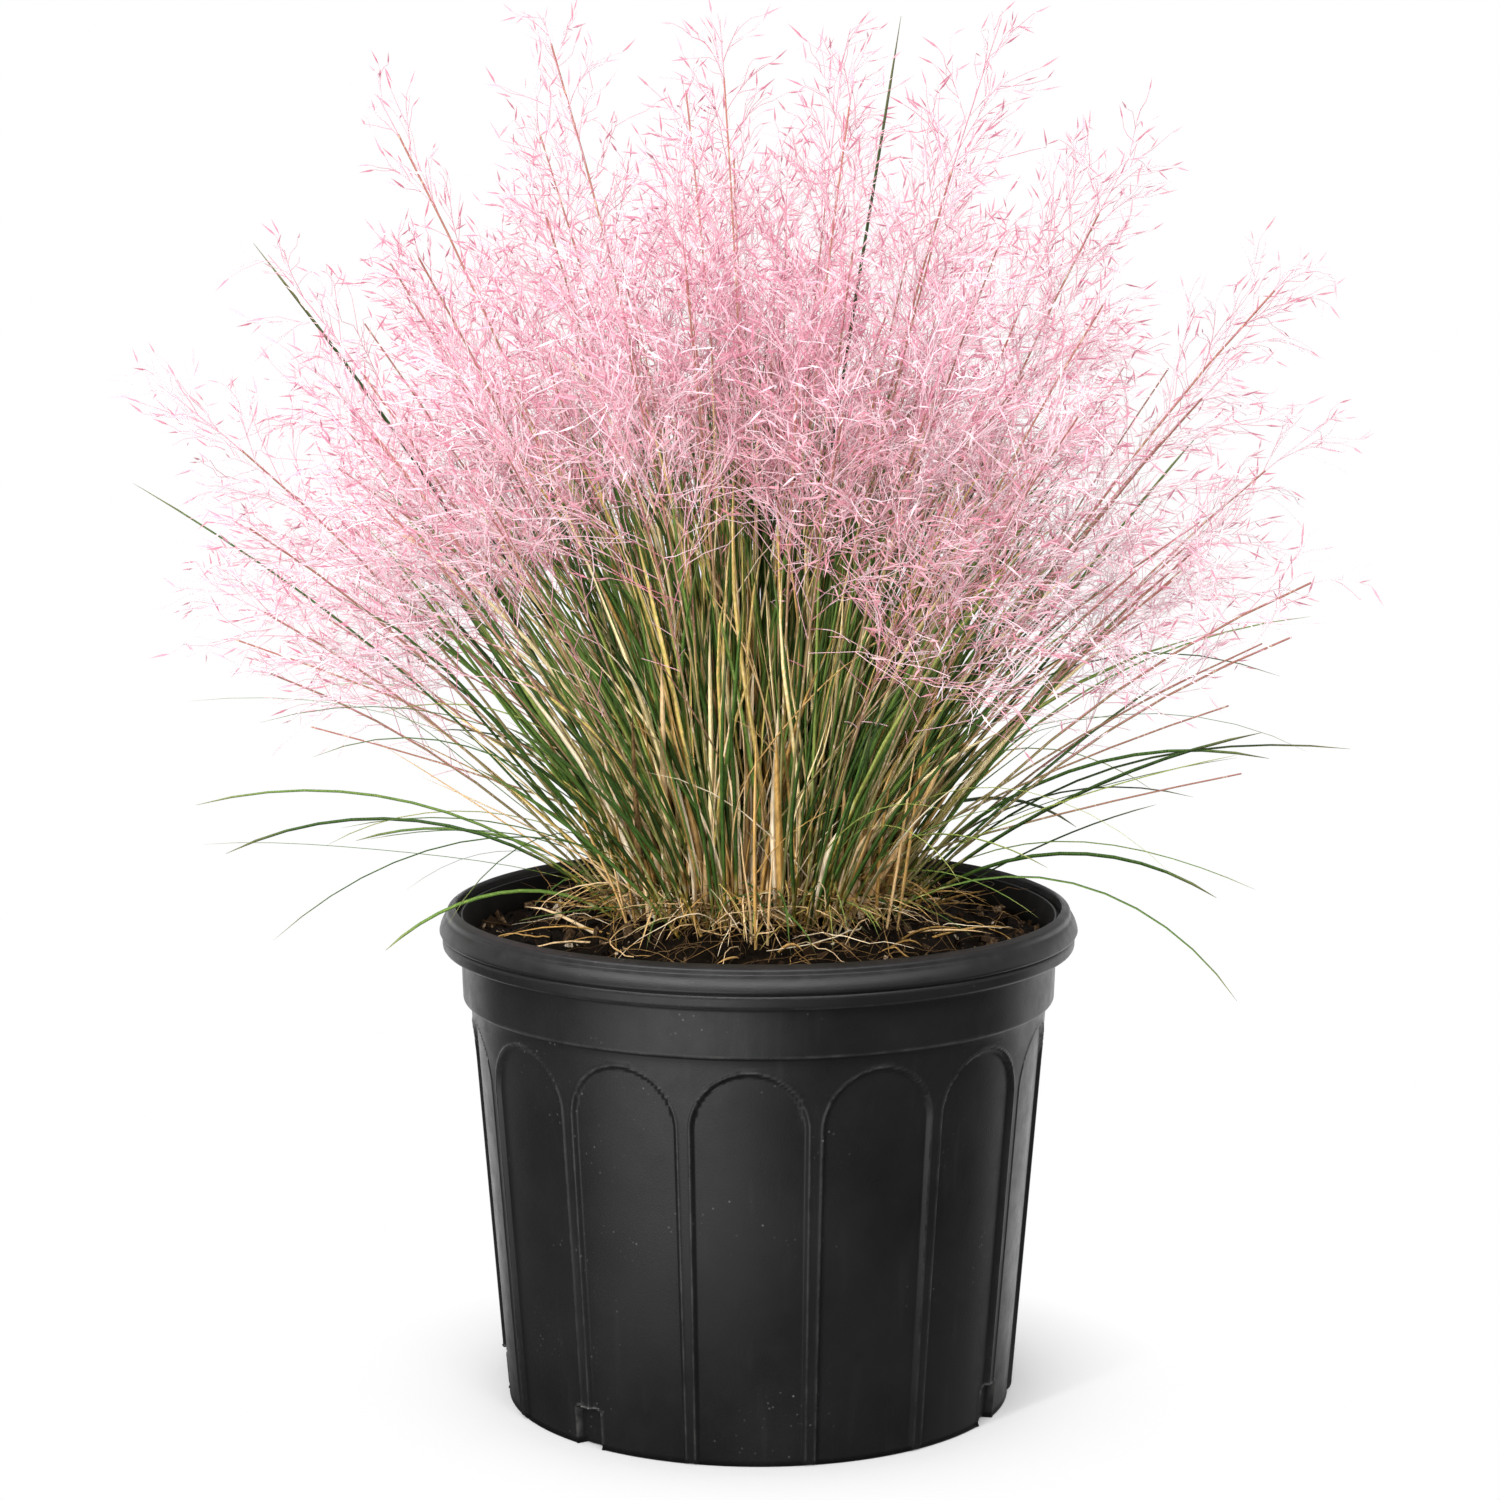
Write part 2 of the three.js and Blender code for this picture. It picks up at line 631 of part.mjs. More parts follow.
const bladeWidthAt = (width, t) => width * (t < 0.5 ? between(0.8, 1, t * 2) : between(1, 0.36, t * 2 - 1));

// A blade: a flat three-sided strip that tapers to a point.
function bladeSolid(blade) {
  const mesh = new RingMesh();
  const { curve, width, roll } = blade;
  let below = null;
  for (const t of blade.places) {
    const half = bladeWidthAt(width, Math.max(t, 0)) * 0.577;
    const flatness = Math.min(1, BLADE_THICKNESS / (1.5 * half));
    const along = curve.getTangent(t);
    const side = curve.side.clone().applyAxisAngle(along, roll);
    const ring = mesh.ring(curve.getPoint(t), along, side, half, Math.PI / 6, flatness);
    if (below) mesh.band(below, ring);
    else mesh.close(ring);
    below = ring;
  }
  mesh.cone(below, mesh.point(curve.getPoint(1)));
  return mesh.solid();
}

function bladeStretches(blade) {
  const radiusAt = t => bladeWidthAt(blade.width, t) * 0.577;
  return stretchesAlong(blade.curve, [0.01, ...blade.places.slice(1), 1], radiusAt, blade.root.name);
}

// A stretch without what lies inside the foot of its tuft.
function aboveCrown(one) {
  const rise = (one.to.z - one.from.z) || 1;
  const share = Math.min(0.9, Math.max(0, (CROWN_CENTRE + CROWN_HEIGHT + 3 - one.from.z) / rise));
  return { ...one, from: one.from.clone().lerp(one.to, share) };
}

// Places a blade if it is clear of all other pieces, and of its own above the crown.
function placeBlade(blade) {
  const list = bladeStretches(blade);
  const high = list.map(one => aboveCrown(one));
  const open = list.slice(1).every(one => inTheOpen(one.from, 1) && inTheOpen(one.to, 1));
  if (!open || !isClear(list, [blade.root.name]) || !isClear(high)) return false;
  placed.push(...list);
  blade.root.blades.push(blade);
  return true;
}

// Tries draws of a blade until one finds room.
function settleBlade(makeBlade, attempts) {
  for (let attempt = 0; attempt < attempts; attempt++) {
    if (placeBlade(makeBlade(attempt))) return;
  }
}

for (const root of [...roots, ...strawRoots]) root.blades = [];

LONG_BLADES.forEach(([x, y, z, bend], number) => {
  settleBlade(attempt => {
    const tip = new THREE.Vector3(x, y, z).add(polar(Math.sqrt(attempt) * 2.2, attempt * 2.4));
    const lean = Math.atan2(Math.hypot(x, y), z - CROWN_CENTRE);
    const reach = Math.min(1, lean / radians(50)) * 56;
    const spot = polar(reach, Math.atan2(y, x) + (draw(number, attempt + 3) - 0.5) * 0.5);
    const { root, base } = rootAt(spot, roots);
    const curve = new StrandCurve(base, tip, radians(bend));
    return { root, curve, width: 2.6, roll: draw(number, 5) * 0.6, places: [-0.01, 0.25, 0.5, 0.75] };
  }, 120);
});

function settleTuft(root, seed) {
  for (let k = 0; k < BLADES_A_TUFT; k++) {
    settleBlade(attempt => {
      const pick = n => draw(seed * 101 + k * 7.3 + n * 0.37, attempt * 3.1 + n);
      const spot = polar((root.radius - 3) * Math.sqrt((k + 0.5) / BLADES_A_TUFT), k * GOLDEN + seed);
      const base = new THREE.Vector3(root.x + spot.x, root.y + spot.y, CROWN_CENTRE + SPROUT);
      const outwards = Math.hypot(base.x, base.y);
      const angle = Math.atan2(base.y, base.x) + (pick(1) - 0.5) * (outwards < 16 ? 3 : 0.8);
      const share = Math.min(1, outwards / 58);
      const lean = leanLimit(angle) * (share * between(0.35, 1.1, pick(2)) + 0.08 * pick(3));
      const reach = between(120, 255, pick(4) ** 0.8) * between(1, 0.82, share);
      const tip = base.clone().add(polar(reach * Math.sin(lean), angle, reach * Math.cos(lean)));
      const curve = new StrandCurve(base, tip, radians(between(8, 34, pick(5))) * (0.4 + share));
      const width = BLADE_WIDTH * between(0.75, 1.1, pick(6));
      return { root, curve, width, roll: (pick(7) - 0.5) * 2.4, places: [-0.012, 0.34, 0.68] };
    }, 60);
  }
}
roots.forEach(settleTuft);

function settleStraw(root, seed) {
  for (let k = 0; k < STRAWS_A_TUFT; k++) {
    settleBlade(attempt => {
      const pick = n => draw(seed * 57 + k * 5.9 + n * 0.71 + 40, attempt * 2.3 + n);
      const spot = polar((root.radius - 3) * Math.sqrt((k + 0.5) / STRAWS_A_TUFT), k * GOLDEN + seed);
      const base = new THREE.Vector3(root.x + spot.x, root.y + spot.y, CROWN_CENTRE + SPROUT);
      const angle = Math.atan2(base.y, base.x) + (pick(1) - 0.5) * 1.5;
      const lying = k % 2 === 1;
      const lean = radians(lying ? between(62, 84, pick(2)) : between(4, 34, pick(2)));
      const reach = lying ? between(48, 84, pick(4)) : between(55, 125, pick(4));
      const tip = base.clone().add(polar(reach * Math.sin(lean), angle, reach * Math.cos(lean)));
      const curve = new StrandCurve(base, tip, radians(lying ? between(30, 64, pick(5)) : 8));
      const width = lying ? 2.4 : between(3, 4.4, pick(6));
      return { root, curve, width, roll: (pick(7) - 0.5) * 1.6, places: [-0.03, 0.34, 0.68] };
    }, 60);
  }
}
strawRoots.forEach(settleStraw);

function makeTuft(root) {
  const plug = rootPlug(root, 0, CROWN_CENTRE + SPROUT - 1, CROWN_HEIGHT - SPROUT + 1);
  const stems = culms.filter(culm => culm.root === root).map(culmSolid);
  return joined([plug, ...root.blades.map(bladeSolid), ...stems]);
}

// ---------- the part ----------

function material(color, roughness) {
  return new THREE.MeshStandardMaterial({ color, roughness, metalness: 0, flatShading: true });
}

const MATERIALS = {
  pot: material(COLOURS.pot, 0.45),
  soil: material(COLOURS.soil, 0.95),
  green: material(COLOURS.green, 0.6),
  straw: material(COLOURS.straw, 0.75),
  pink: material(COLOURS.pink, 0.7),
};

const part = new THREE.Group();

function addPiece(name, geometry, finish) {
  const mesh = new THREE.Mesh(geometry, finish);
  mesh.name = name;
  part.add(mesh);
}

addPiece('pot', geometryOf(makePot()), MATERIALS.pot);
addPiece('soil', geometryOf(makeSoil()), MATERIALS.soil);
for (const root of roots) addPiece(root.name, geometryOf(makeTuft(root)), MATERIALS.green);
for (const root of strawRoots) addPiece(root.name, geometryOf(makeTuft(root)), MATERIALS.straw);
for (const culm of culms) addPiece(culm.name, makePanicle(culm).geometry(), MATERIALS.pink);

export default part;
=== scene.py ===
# %% [markdown]
# # Pink muhly grass in its nursery pot
# The plant is a clump of green wiry blades with dry sheaths round its foot. Above it stands a cloud
# of flower heads so fine that it looks like pink mist. All of it grows from potting mix in a squat
# black nursery pot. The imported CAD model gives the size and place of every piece, and each step
# below swaps one plain CAD solid for a finer mesh of the same form. Lengths are written in
# millimetres, as on a drawing, and turned into metres only when a mesh is made.

import bpy
import numpy as np
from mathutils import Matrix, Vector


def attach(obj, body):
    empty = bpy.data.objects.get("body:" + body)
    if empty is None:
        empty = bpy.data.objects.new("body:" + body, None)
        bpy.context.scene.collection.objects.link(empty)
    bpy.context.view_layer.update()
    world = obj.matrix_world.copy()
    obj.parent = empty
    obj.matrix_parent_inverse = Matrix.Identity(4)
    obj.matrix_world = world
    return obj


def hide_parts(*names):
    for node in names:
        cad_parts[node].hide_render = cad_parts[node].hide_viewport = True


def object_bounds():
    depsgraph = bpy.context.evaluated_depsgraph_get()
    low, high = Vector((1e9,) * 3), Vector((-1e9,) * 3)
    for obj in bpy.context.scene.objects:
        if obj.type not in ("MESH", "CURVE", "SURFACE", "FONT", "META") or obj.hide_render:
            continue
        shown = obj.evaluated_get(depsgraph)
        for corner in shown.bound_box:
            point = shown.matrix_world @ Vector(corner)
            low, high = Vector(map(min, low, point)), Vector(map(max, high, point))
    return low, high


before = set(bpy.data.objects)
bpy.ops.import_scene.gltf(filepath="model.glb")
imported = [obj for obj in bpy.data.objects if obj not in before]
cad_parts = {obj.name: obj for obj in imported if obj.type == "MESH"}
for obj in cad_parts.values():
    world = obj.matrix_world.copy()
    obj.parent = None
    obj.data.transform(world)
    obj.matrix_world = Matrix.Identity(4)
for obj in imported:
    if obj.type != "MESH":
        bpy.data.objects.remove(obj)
cad_box = [list(corner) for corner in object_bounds()]
print("CAD box in metres:", cad_box)

# %% [markdown]
# ## Camera
# A potted plant looks best from a little above the rim through a long lens, because the pot's
# sides then stay almost upright. The camera stands 1.9 m off and looks down by about 9 degrees.
# It is built directly from those few numbers.

# %% Place the camera
MM = 0.001
CAMERA_PLACE = (-4.1, -1900.0, 610.0)
CAMERA_DOWN = 8.87          # degrees below the horizon
LENS = 97.1                 # on a 36 mm sensor

camera_data = bpy.data.cameras.new("camera")
camera_data.lens = LENS
camera_data.sensor_width = 36.0
camera = bpy.data.objects.new("camera", camera_data)
camera.location = [c * MM for c in CAMERA_PLACE]
camera.rotation_euler = (np.radians(90 - CAMERA_DOWN), 0, 0)
bpy.context.scene.collection.objects.link(camera)
bpy.context.scene.camera = camera
print("camera looks down by", CAMERA_DOWN, "degrees")

# %% [markdown]
# ## Light and floor
# The set is a white studio: light comes from above, from both sides and from behind. The dim front
# is what keeps the front of a black pot dark and gives its two sides a pale edge. A world shader
# can do that with no lamps, because its strength may depend on the direction. What shines sees
# less of this light, and one soft box more, high in front, which draws the bright line along the
# rim. Two lamps do the rest and are hidden from what shines: a tall strip at the front left gives
# the blades a bright side, and a wide one high in front keeps the shadows open. The floor is pure
# white, with a faint shadow round the pot. To the pot's gloss alone it is dark in front, with one
# white card at the left that draws a soft streak down the black plastic.

# %% Build the studio
FRONT_LIGHT, BACK_LIGHT, TOP_LIGHT = 0.22, 0.92, 0.86
GLOSS_SHARE = 0.3           # how much of the light above reaches what shines
BOX_LIGHT, BOX_HEIGHT = 8.0, 0.55       # the soft box, and where it hangs: 0 level with the eye, 1 overhead
LAMPS = {                   # place in millimetres, width and height in metres, power in watts
    "strip_lamp": ((-1000.0, -1500.0, 520.0), (0.16, 1.0), 24.0),
    "fill_lamp": ((-120.0, -1700.0, 1700.0), (2.1, 1.2), 44.0)}
AIM = (0.0, 0.0, 350.0)


def node_maker(tree):
    """Returns a function that adds a node, sets its fields and links or sets its inputs."""
    def add(kind, fields=None, **inputs):
        node = tree.nodes.new(kind)
        for name, value in (fields or {}).items():
            setattr(node, name, value)
        for name, value in inputs.items():
            socket = node.inputs[int(name[1:])] if name[1:].isdigit() else node.inputs[name.replace("_", " ")]
            if isinstance(value, bpy.types.NodeSocket):
                tree.links.new(value, socket)
            else:
                socket.default_value = value
        return node
    return add


def maths(add, operation, *values):
    """One step of arithmetic on numbers and sockets."""
    return add("ShaderNodeMath", {"operation": operation}, **{f"_{k}": v for k, v in enumerate(values)}).outputs[0]


def scaled(add, value, low, high, start=0.0, end=1.0):
    """Maps the range from start to end onto the range from low to high."""
    return add("ShaderNodeMapRange", Value=value, From_Min=start, From_Max=end, To_Min=low, To_Max=high).outputs[0]


def either(add, share, first, second):
    """The first number, or the second where share is 1."""
    return add("ShaderNodeMix", {"data_type": "FLOAT"}, _0=share, _2=first, _3=second).outputs[0]


world = bpy.data.worlds.new("studio")
bpy.context.scene.world = world
world.use_nodes = True
world.node_tree.nodes.clear()
add = node_maker(world.node_tree)
side, back, top = add("ShaderNodeSeparateXYZ", Vector=add("ShaderNodeTexCoord").outputs["Generated"]).outputs
light = maths(add, "ADD", scaled(add, back, FRONT_LIGHT, BACK_LIGHT, -0.9, 0.4),
              scaled(add, top, 0.0, TOP_LIGHT - FRONT_LIGHT, 0.1, 0.9))
box = scaled(add, maths(add, "ABSOLUTE", maths(add, "SUBTRACT", top, BOX_HEIGHT)), BOX_LIGHT, 0.0, 0.04, 0.16)
box = maths(add, "MULTIPLY", box, scaled(add, back, 0.0, 1.0, 0.0, -0.5))
box = maths(add, "MULTIPLY", box, scaled(add, side, 1.0, 0.45, -0.2, 0.7))
gloss = maths(add, "MULTIPLY_ADD", light, scaled(add, top, 1.0, GLOSS_SHARE, 0.03, 0.28), box)
ray = add("ShaderNodeLightPath").outputs
seen = either(add, ray["Is Camera Ray"], either(add, ray["Is Glossy Ray"], light, gloss), 1.0)
sky = add("ShaderNodeBackground", Color=(1, 1, 1, 1), Strength=seen)
add("ShaderNodeOutputWorld", Surface=sky.outputs[0])

for name, (place, (width, height), power) in LAMPS.items():
    lamp_data = bpy.data.lights.new(name, "AREA")
    lamp_data.shape = "RECTANGLE"
    lamp_data.size, lamp_data.size_y, lamp_data.energy = width, height, power
    lamp = bpy.data.objects.new(name, lamp_data)
    lamp.location = [c * MM for c in place]
    aim = np.array(AIM) - place
    lamp.rotation_euler = (np.arctan2(np.hypot(aim[0], aim[1]), -aim[2]), 0, np.arctan2(-aim[0], aim[1]))
    lamp.visible_glossy = False
    bpy.context.scene.collection.objects.link(lamp)
bpy.context.scene.view_settings.view_transform = "Standard"
print("studio light from", FRONT_LIGHT, "in front to", TOP_LIGHT, "above")

# %% Start a material


def srgb(red, green, blue):
    """A colour as picked on a screen, 0 to 255, as the linear colour that Blender works with."""
    share = np.array([red, green, blue]) / 255
    linear = np.where(share <= 0.04045, share / 12.92, ((share + 0.055) / 1.055) ** 2.4)
    return (*(float(c) for c in linear), 1.0)


def new_material(name):
    """An empty material, and the function that adds its nodes."""
    material = bpy.data.materials.new(name)
    material.use_nodes = True
    material.node_tree.nodes.clear()
    return material, node_maker(material.node_tree)


def blended(add, share, first, second):
    """Two colours mixed by a share from 0 to 1."""
    return add("ShaderNodeMix", {"data_type": "RGBA"}, _0=share, _6=first, _7=second).outputs[2]


def surface(add, colour, roughness, gloss=0.5, bumps=None, **more):
    """Ends a material: its colour, roughness, gloss, and bumps as (height, strength, distance)."""
    if bumps:
        more["Normal"] = add("ShaderNodeBump", Height=bumps[0], Strength=bumps[1], Distance=bumps[2]).outputs[0]
    shader = add("ShaderNodeBsdfPrincipled", Base_Color=colour, Roughness=roughness, Specular_IOR_Level=gloss, **more)
    add("ShaderNodeOutputMaterial", Surface=shader.outputs[0])


print("screen black and white become", srgb(0, 0, 0)[0], "and", srgb(255, 255, 255)[0])

# %% Lay the floor
FLOOR_REACH, NEAR, FAR = 30.0, 0.13, 0.21       # metres: its half width, and where its own glow begins and is full
NEAR_GLOW, PAINT = 0.12, 0.59           # glow near the pot, and how much light the floor gives back there
CARD_TURN, CARD_LIGHT = 29.0, 2.0       # a white card at the front left, on a dark floor
DARK = (0.06, 0.06, 0.06, 1)
floor_mesh = bpy.data.meshes.new("floor")
floor_mesh.from_pydata([(x * FLOOR_REACH, y * FLOOR_REACH, 0) for x, y in ((-1, -1), (1, -1), (1, 1), (-1, 1))],
                       [], [(0, 1, 2, 3)])
floor = bpy.data.objects.new("floor", floor_mesh)
bpy.context.scene.collection.objects.link(floor)
white_floor, add = new_material("white_floor")
spot = add("ShaderNodeTexCoord").outputs["Object"]
far = scaled(add, add("ShaderNodeVectorMath", {"operation": "LENGTH"}, _0=spot).outputs["Value"], 0.0, 1.0, NEAR, FAR)
to_card = add("ShaderNodeMapping", Vector=spot, Rotation=(0, 0, np.radians(CARD_TURN)))
across, ahead = add("ShaderNodeSeparateXYZ", Vector=to_card.outputs[0]).outputs[:2]
wedge = add("ShaderNodeMapRange", {"interpolation_type": "SMOOTHSTEP"}, From_Min=0.1, From_Max=0.95, To_Min=1.0,
            To_Max=0.0, Value=maths(add, "ABSOLUTE", maths(add, "DIVIDE", across, ahead))).outputs[0]
bright = maths(add, "MULTIPLY", wedge, scaled(add, ahead, 0.06, 1.0, -0.2, -0.62))
bright = maths(add, "MULTIPLY", bright, scaled(add, ahead, CARD_LIGHT, 0.0, -0.1, 0.0))
x, y = add("ShaderNodeSeparateXYZ", Vector=spot).outputs[:2]
behind = maths(add, "MULTIPLY_ADD", maths(add, "ABSOLUTE", x), -0.62, y)
behind = maths(add, "MULTIPLY_ADD", x, 0.2, behind)
card = maths(add, "MULTIPLY", add("ShaderNodeLightPath").outputs["Is Glossy Ray"],
             scaled(add, behind, 1.0, 0.0, -0.14, 0.04))        # what only the pot's gloss sees
painted = blended(add, far, (PAINT, PAINT, PAINT, 1), (0, 0, 0, 1))
surface(add, blended(add, card, painted, DARK), 0.9, 0.0, Emission_Strength=scaled(add, far, NEAR_GLOW, 1.0),
        Emission_Color=blended(add, card, (1, 1, 1, 1), bright))
floor_mesh.materials.append(white_floor)
print("floor", 2 * FLOOR_REACH, "m wide")

# %% [markdown]
# ## Finishes that follow a strand
# Every blade, stem and flower hair carries two numbers on its points: `tint`, drawn once for the
# whole strand, and `along`, which runs from 0 at its root to 1 at its tip. A material can read
# both with an Attribute node, so one material colours a thousand blades and no two look the same.
# An image would do it too, but attributes need no map and stay sharp at any size.

# %% Read a strand's numbers in a material


def attribute(add, name):
    return add("ShaderNodeAttribute", {"attribute_name": name}).outputs["Fac"]


def ramp(add, share, stops):
    """A colour ramp through (place, screen colour) stops."""
    node = add("ShaderNodeValToRGB", Fac=share)
    band = node.color_ramp
    while len(band.elements) < len(stops):
        band.elements.new(0.5)
    for element, (place, colour) in zip(band.elements, stops):
        element.position = place
        element.color = srgb(*colour)
    return node.outputs["Color"]


def own_place(add):
    """The place of each spot on its own piece, in metres."""
    return add("ShaderNodeTexCoord").outputs["Object"]


def noise(add, place, scale, detail, roughness=0.5):
    return add("ShaderNodeTexNoise", Vector=place, Scale=scale, Detail=detail, Roughness=roughness).outputs[0]


def streaks(add, across, lengthways, detail=3.0):
    """Noise that is finer across the upright than along it."""
    place = add("ShaderNodeMapping", Vector=own_place(add), Scale=(across, across, lengthways))
    return noise(add, place.outputs[0], 1.0, detail)


def varied(add, grain, by):
    """A strand's tint, made lighter and darker along the strand by noise."""
    return maths(add, "ADD", attribute(add, "tint"), scaled(add, grain, -by, by))


print("helpers for tint, ramps and streaks are ready")

# %% Finish of the green blades
GREENS = [(0.0, (36, 54, 19)), (0.25, (66, 98, 40)), (0.5, (104, 134, 62)), (0.7, (162, 170, 88)),
          (0.84, (230, 197, 116)), (1.0, (255, 236, 184))]
# the darkest stop is painted shade among the crowded feet; the others are the colours of the dry bases
FEET_AND_SHADE = [(0.44, (40, 30, 6)), (0.5, (144, 102, 30)), (0.56, (232, 184, 98)), (0.65, (255, 238, 192))]
blade_green, add = new_material("blade_green")
along, grain = attribute(add, "along"), streaks(add, 900.0, 60.0)
living = ramp(add, varied(add, grain, 0.22), GREENS)
footed = blended(add, scaled(add, along, 0.9, 0.0, 0.08, 0.34), living, ramp(add, streaks(add, 240.0, 8.0), FEET_AND_SHADE))
withered = blended(add, scaled(add, along, 0.0, 0.6, 0.84, 1.0), footed, srgb(140, 132, 92))
surface(add, withered, scaled(add, grain, 0.42, 0.62), 0.3, (grain, 0.25, 0.0004))
print("blade_green from", GREENS[0][1], "to", GREENS[-1][1])

# %% Finish of the dry straw
STRAWS = [(0.0, (74, 54, 32)), (0.2, (134, 106, 68)), (0.4, (202, 158, 86)), (0.6, (222, 184, 130)),
          (0.8, (240, 208, 160)), (1.0, (251, 236, 206))]
dry_straw, add = new_material("dry_straw")
grain, blotch = streaks(add, 700.0, 45.0), streaks(add, 90.0, 30.0, 2.0)
faded = blended(add, scaled(add, blotch, 0.0, 0.55, 0.52, 0.72), ramp(add, varied(add, grain, 0.3), STRAWS),
                srgb(100, 78, 46))
surface(add, faded, 0.6, 0.3, (grain, 0.35, 0.0005))
print("dry_straw from", STRAWS[0][1], "to", STRAWS[-1][1])

# %% Finish of the stems that carry the flowers
STEMS = [(0.0, (206, 172, 104)), (0.12, (124, 132, 72)), (0.34, (156, 142, 92)), (0.5, (176, 128, 104)),
         (0.72, (178, 108, 100)), (1.0, (200, 122, 130))]
stem_brown, add = new_material("stem_brown")
rising, fleck = ramp(add, attribute(add, "along"), STEMS), streaks(add, 500.0, 160.0)
flecked = blended(add, scaled(add, fleck, 0.0, 0.8, 0.58, 0.64), rising, srgb(232, 206, 178))
surface(add, blended(add, scaled(add, attribute(add, "tint"), 0.0, 0.55), flecked, srgb(84, 62, 46)), 0.5)
print("stem_brown turns pink above the blades")

# %% Finish of the flower hairs and spikelets
HAIRS = [(0.0, (204, 114, 140)), (0.25, (222, 148, 167)), (0.5, (232, 184, 197)), (0.75, (240, 211, 220)),
         (1.0, (248, 232, 238))]
SPIKELETS = [(0.0, (184, 90, 120)), (0.35, (216, 137, 158)), (0.7, (236, 182, 196)), (1.0, (248, 224, 229))]
SHADE_CENTRE, SHADE_REACH = (0.0, 0.0, 0.6), 0.2           # painted shade, darker and browner, in squeezed metres
BLUSH = (-0.02, 0.0, 0.49)                          # round this place the cloud is deepest in colour


def flower_finish(name, stops, deepest_shade):
    """A soft petal-like finish, with painted shade: deep inside the clump it turns darker and browner."""
    material, add = new_material(name)
    place = own_place(add)
    squeezed = add("ShaderNodeMapping", Vector=place, Scale=(1.0, 0.55, 1.5)).outputs[0]
    far, from_shade_centre = (add("ShaderNodeVectorMath", {"operation": "DISTANCE"}, _0=spot, _1=centre).outputs["Value"]
                 for spot, centre in ((place, BLUSH), (squeezed, SHADE_CENTRE)))
    tint = maths(add, "ADD", attribute(add, "tint"), scaled(add, far, -0.34, 0.06, 0.06, 0.26))
    tipped = blended(add, scaled(add, attribute(add, "along"), 0.0, 0.16, 0.5, 1.0), ramp(add, tint, stops),
                     srgb(255, 240, 242))
    # painted shade: hairs near the shade centre are mixed towards a dark brown
    with_painted_shade = blended(add, scaled(add, from_shade_centre, deepest_shade, 0.0, 0.06, SHADE_REACH), tipped, srgb(172, 108, 100))
    surface(add, with_painted_shade, 0.65, Sheen_Weight=0.25)
    return material


hair_pink = flower_finish("hair_pink", HAIRS, 0.32)
spikelet_rose = flower_finish("spikelet_rose", SPIKELETS, 0.6)
print("flower finishes:", hair_pink.name, spikelet_rose.name)

# %% [markdown]
# ## Strands as bundles of lines
# A blade, a stem and a flower hair are the same thing to a modeller: a line in space with a
# thickness that changes on the way. Drawing each by hand is out of the question, and a hair
# system isn't a mesh. So the lines are worked out as arrays, thousands at a time, and written
# into one mesh of bare edges. Geometry Nodes then give every line its skin.

# %% Collect strands
COLUMNS = ("thickness", "roll", "tint", "along", "grain", "length")     # numbers that each point carries


class Bundle:
    """Strands and spikelets of one piece, in millimetres, before they get a skin."""

    def __init__(self):
        self.points, self.headings, self.columns, self.edges, self.count = [], [], [], [], 0

    def put(self, points, heading=0.0, **values):
        """Keeps points and the numbers of each, which are 0 where none is given."""
        self.points.append(points)
        self.headings.append(np.broadcast_to(heading, points.shape))
        self.columns.append([np.broadcast_to(values.get(key, 0.0), len(points)) for key in COLUMNS])
        self.count += len(points)

    def strands(self, points, radius, tint, roll=0.0, end=1.0):
        """points is (strands, points, 3). radius may be one number, or one for each point."""
        count, steps = points.shape[:2]
        starts = (self.count + np.arange(count)[:, None] * steps + np.arange(steps - 1)).ravel()
        self.edges.append(np.stack([starts, starts + 1], axis=1))
        tint, roll = (np.repeat(np.broadcast_to(value, count), steps) for value in (tint, roll))
        self.put(points.reshape(-1, 3), thickness=np.broadcast_to(radius, (count, steps)).ravel() * MM, tint=tint,
                 roll=roll, along=np.tile(np.linspace(0, end, steps), count))

    def spikelets(self, places, headings, lengths, tint):
        self.put(places, headings, length=lengths * MM, tint=tint, along=0.8, grain=1.0)

    def mesh(self, name):
        """One mesh: an edge for each step of a strand, and a loose point for each spikelet."""
        mesh = bpy.data.meshes.new(name)
        edges = np.concatenate(self.edges)
        mesh.vertices.add(self.count)
        mesh.vertices.foreach_set("co", (np.concatenate(self.points) * MM).ravel())
        mesh.edges.add(len(edges))
        mesh.edges.foreach_set("vertices", edges.ravel())
        for key, values in zip(COLUMNS, np.concatenate(self.columns, axis=1).astype(np.float32)):
            mesh.attributes.new(key, "FLOAT", "POINT").data.foreach_set("value", values)
        headings = np.concatenate(self.headings).astype(np.float32).ravel()
        mesh.attributes.new("heading", "FLOAT_VECTOR", "POINT").data.foreach_set("vector", headings)
        mesh.update()
        return mesh


print("each point of a bundle carries", *COLUMNS)

# %% [markdown]
# ## A skin for every strand
# A curve with a bevel would do for one blade. For thousands, a node tree is better: it turns the
# edges into curves, reads each point's thickness and roll, and sweeps a small ring along them.
# The ring has three or four corners and may be flattened, because a blade is flat and a hair is
# round, and at their true size nobody sees more sides than that. The spikelets are instances of
# one lance-shaped grain, placed on the loose points and turned to their headings. The tree ends by
# making the instances real and giving out the materials.

# %% Build the skin tree


def tree_with(name, sockets):
    """A geometry tree with a geometry in and out, and the named inputs."""
    tree = bpy.data.node_groups.new(name, "GeometryNodeTree")
    tree.interface.new_socket("Geometry", in_out="INPUT", socket_type="NodeSocketGeometry")
    tree.interface.new_socket("Geometry", in_out="OUTPUT", socket_type="NodeSocketGeometry")
    for label, kind in sockets:
        tree.interface.new_socket(label, in_out="INPUT", socket_type=kind)
    return tree, node_maker(tree), tree.nodes.new("NodeGroupInput").outputs


def named(add, name, kind="FLOAT"):
    return add("GeometryNodeInputNamedAttribute", {"data_type": kind}, Name=name).outputs[0]


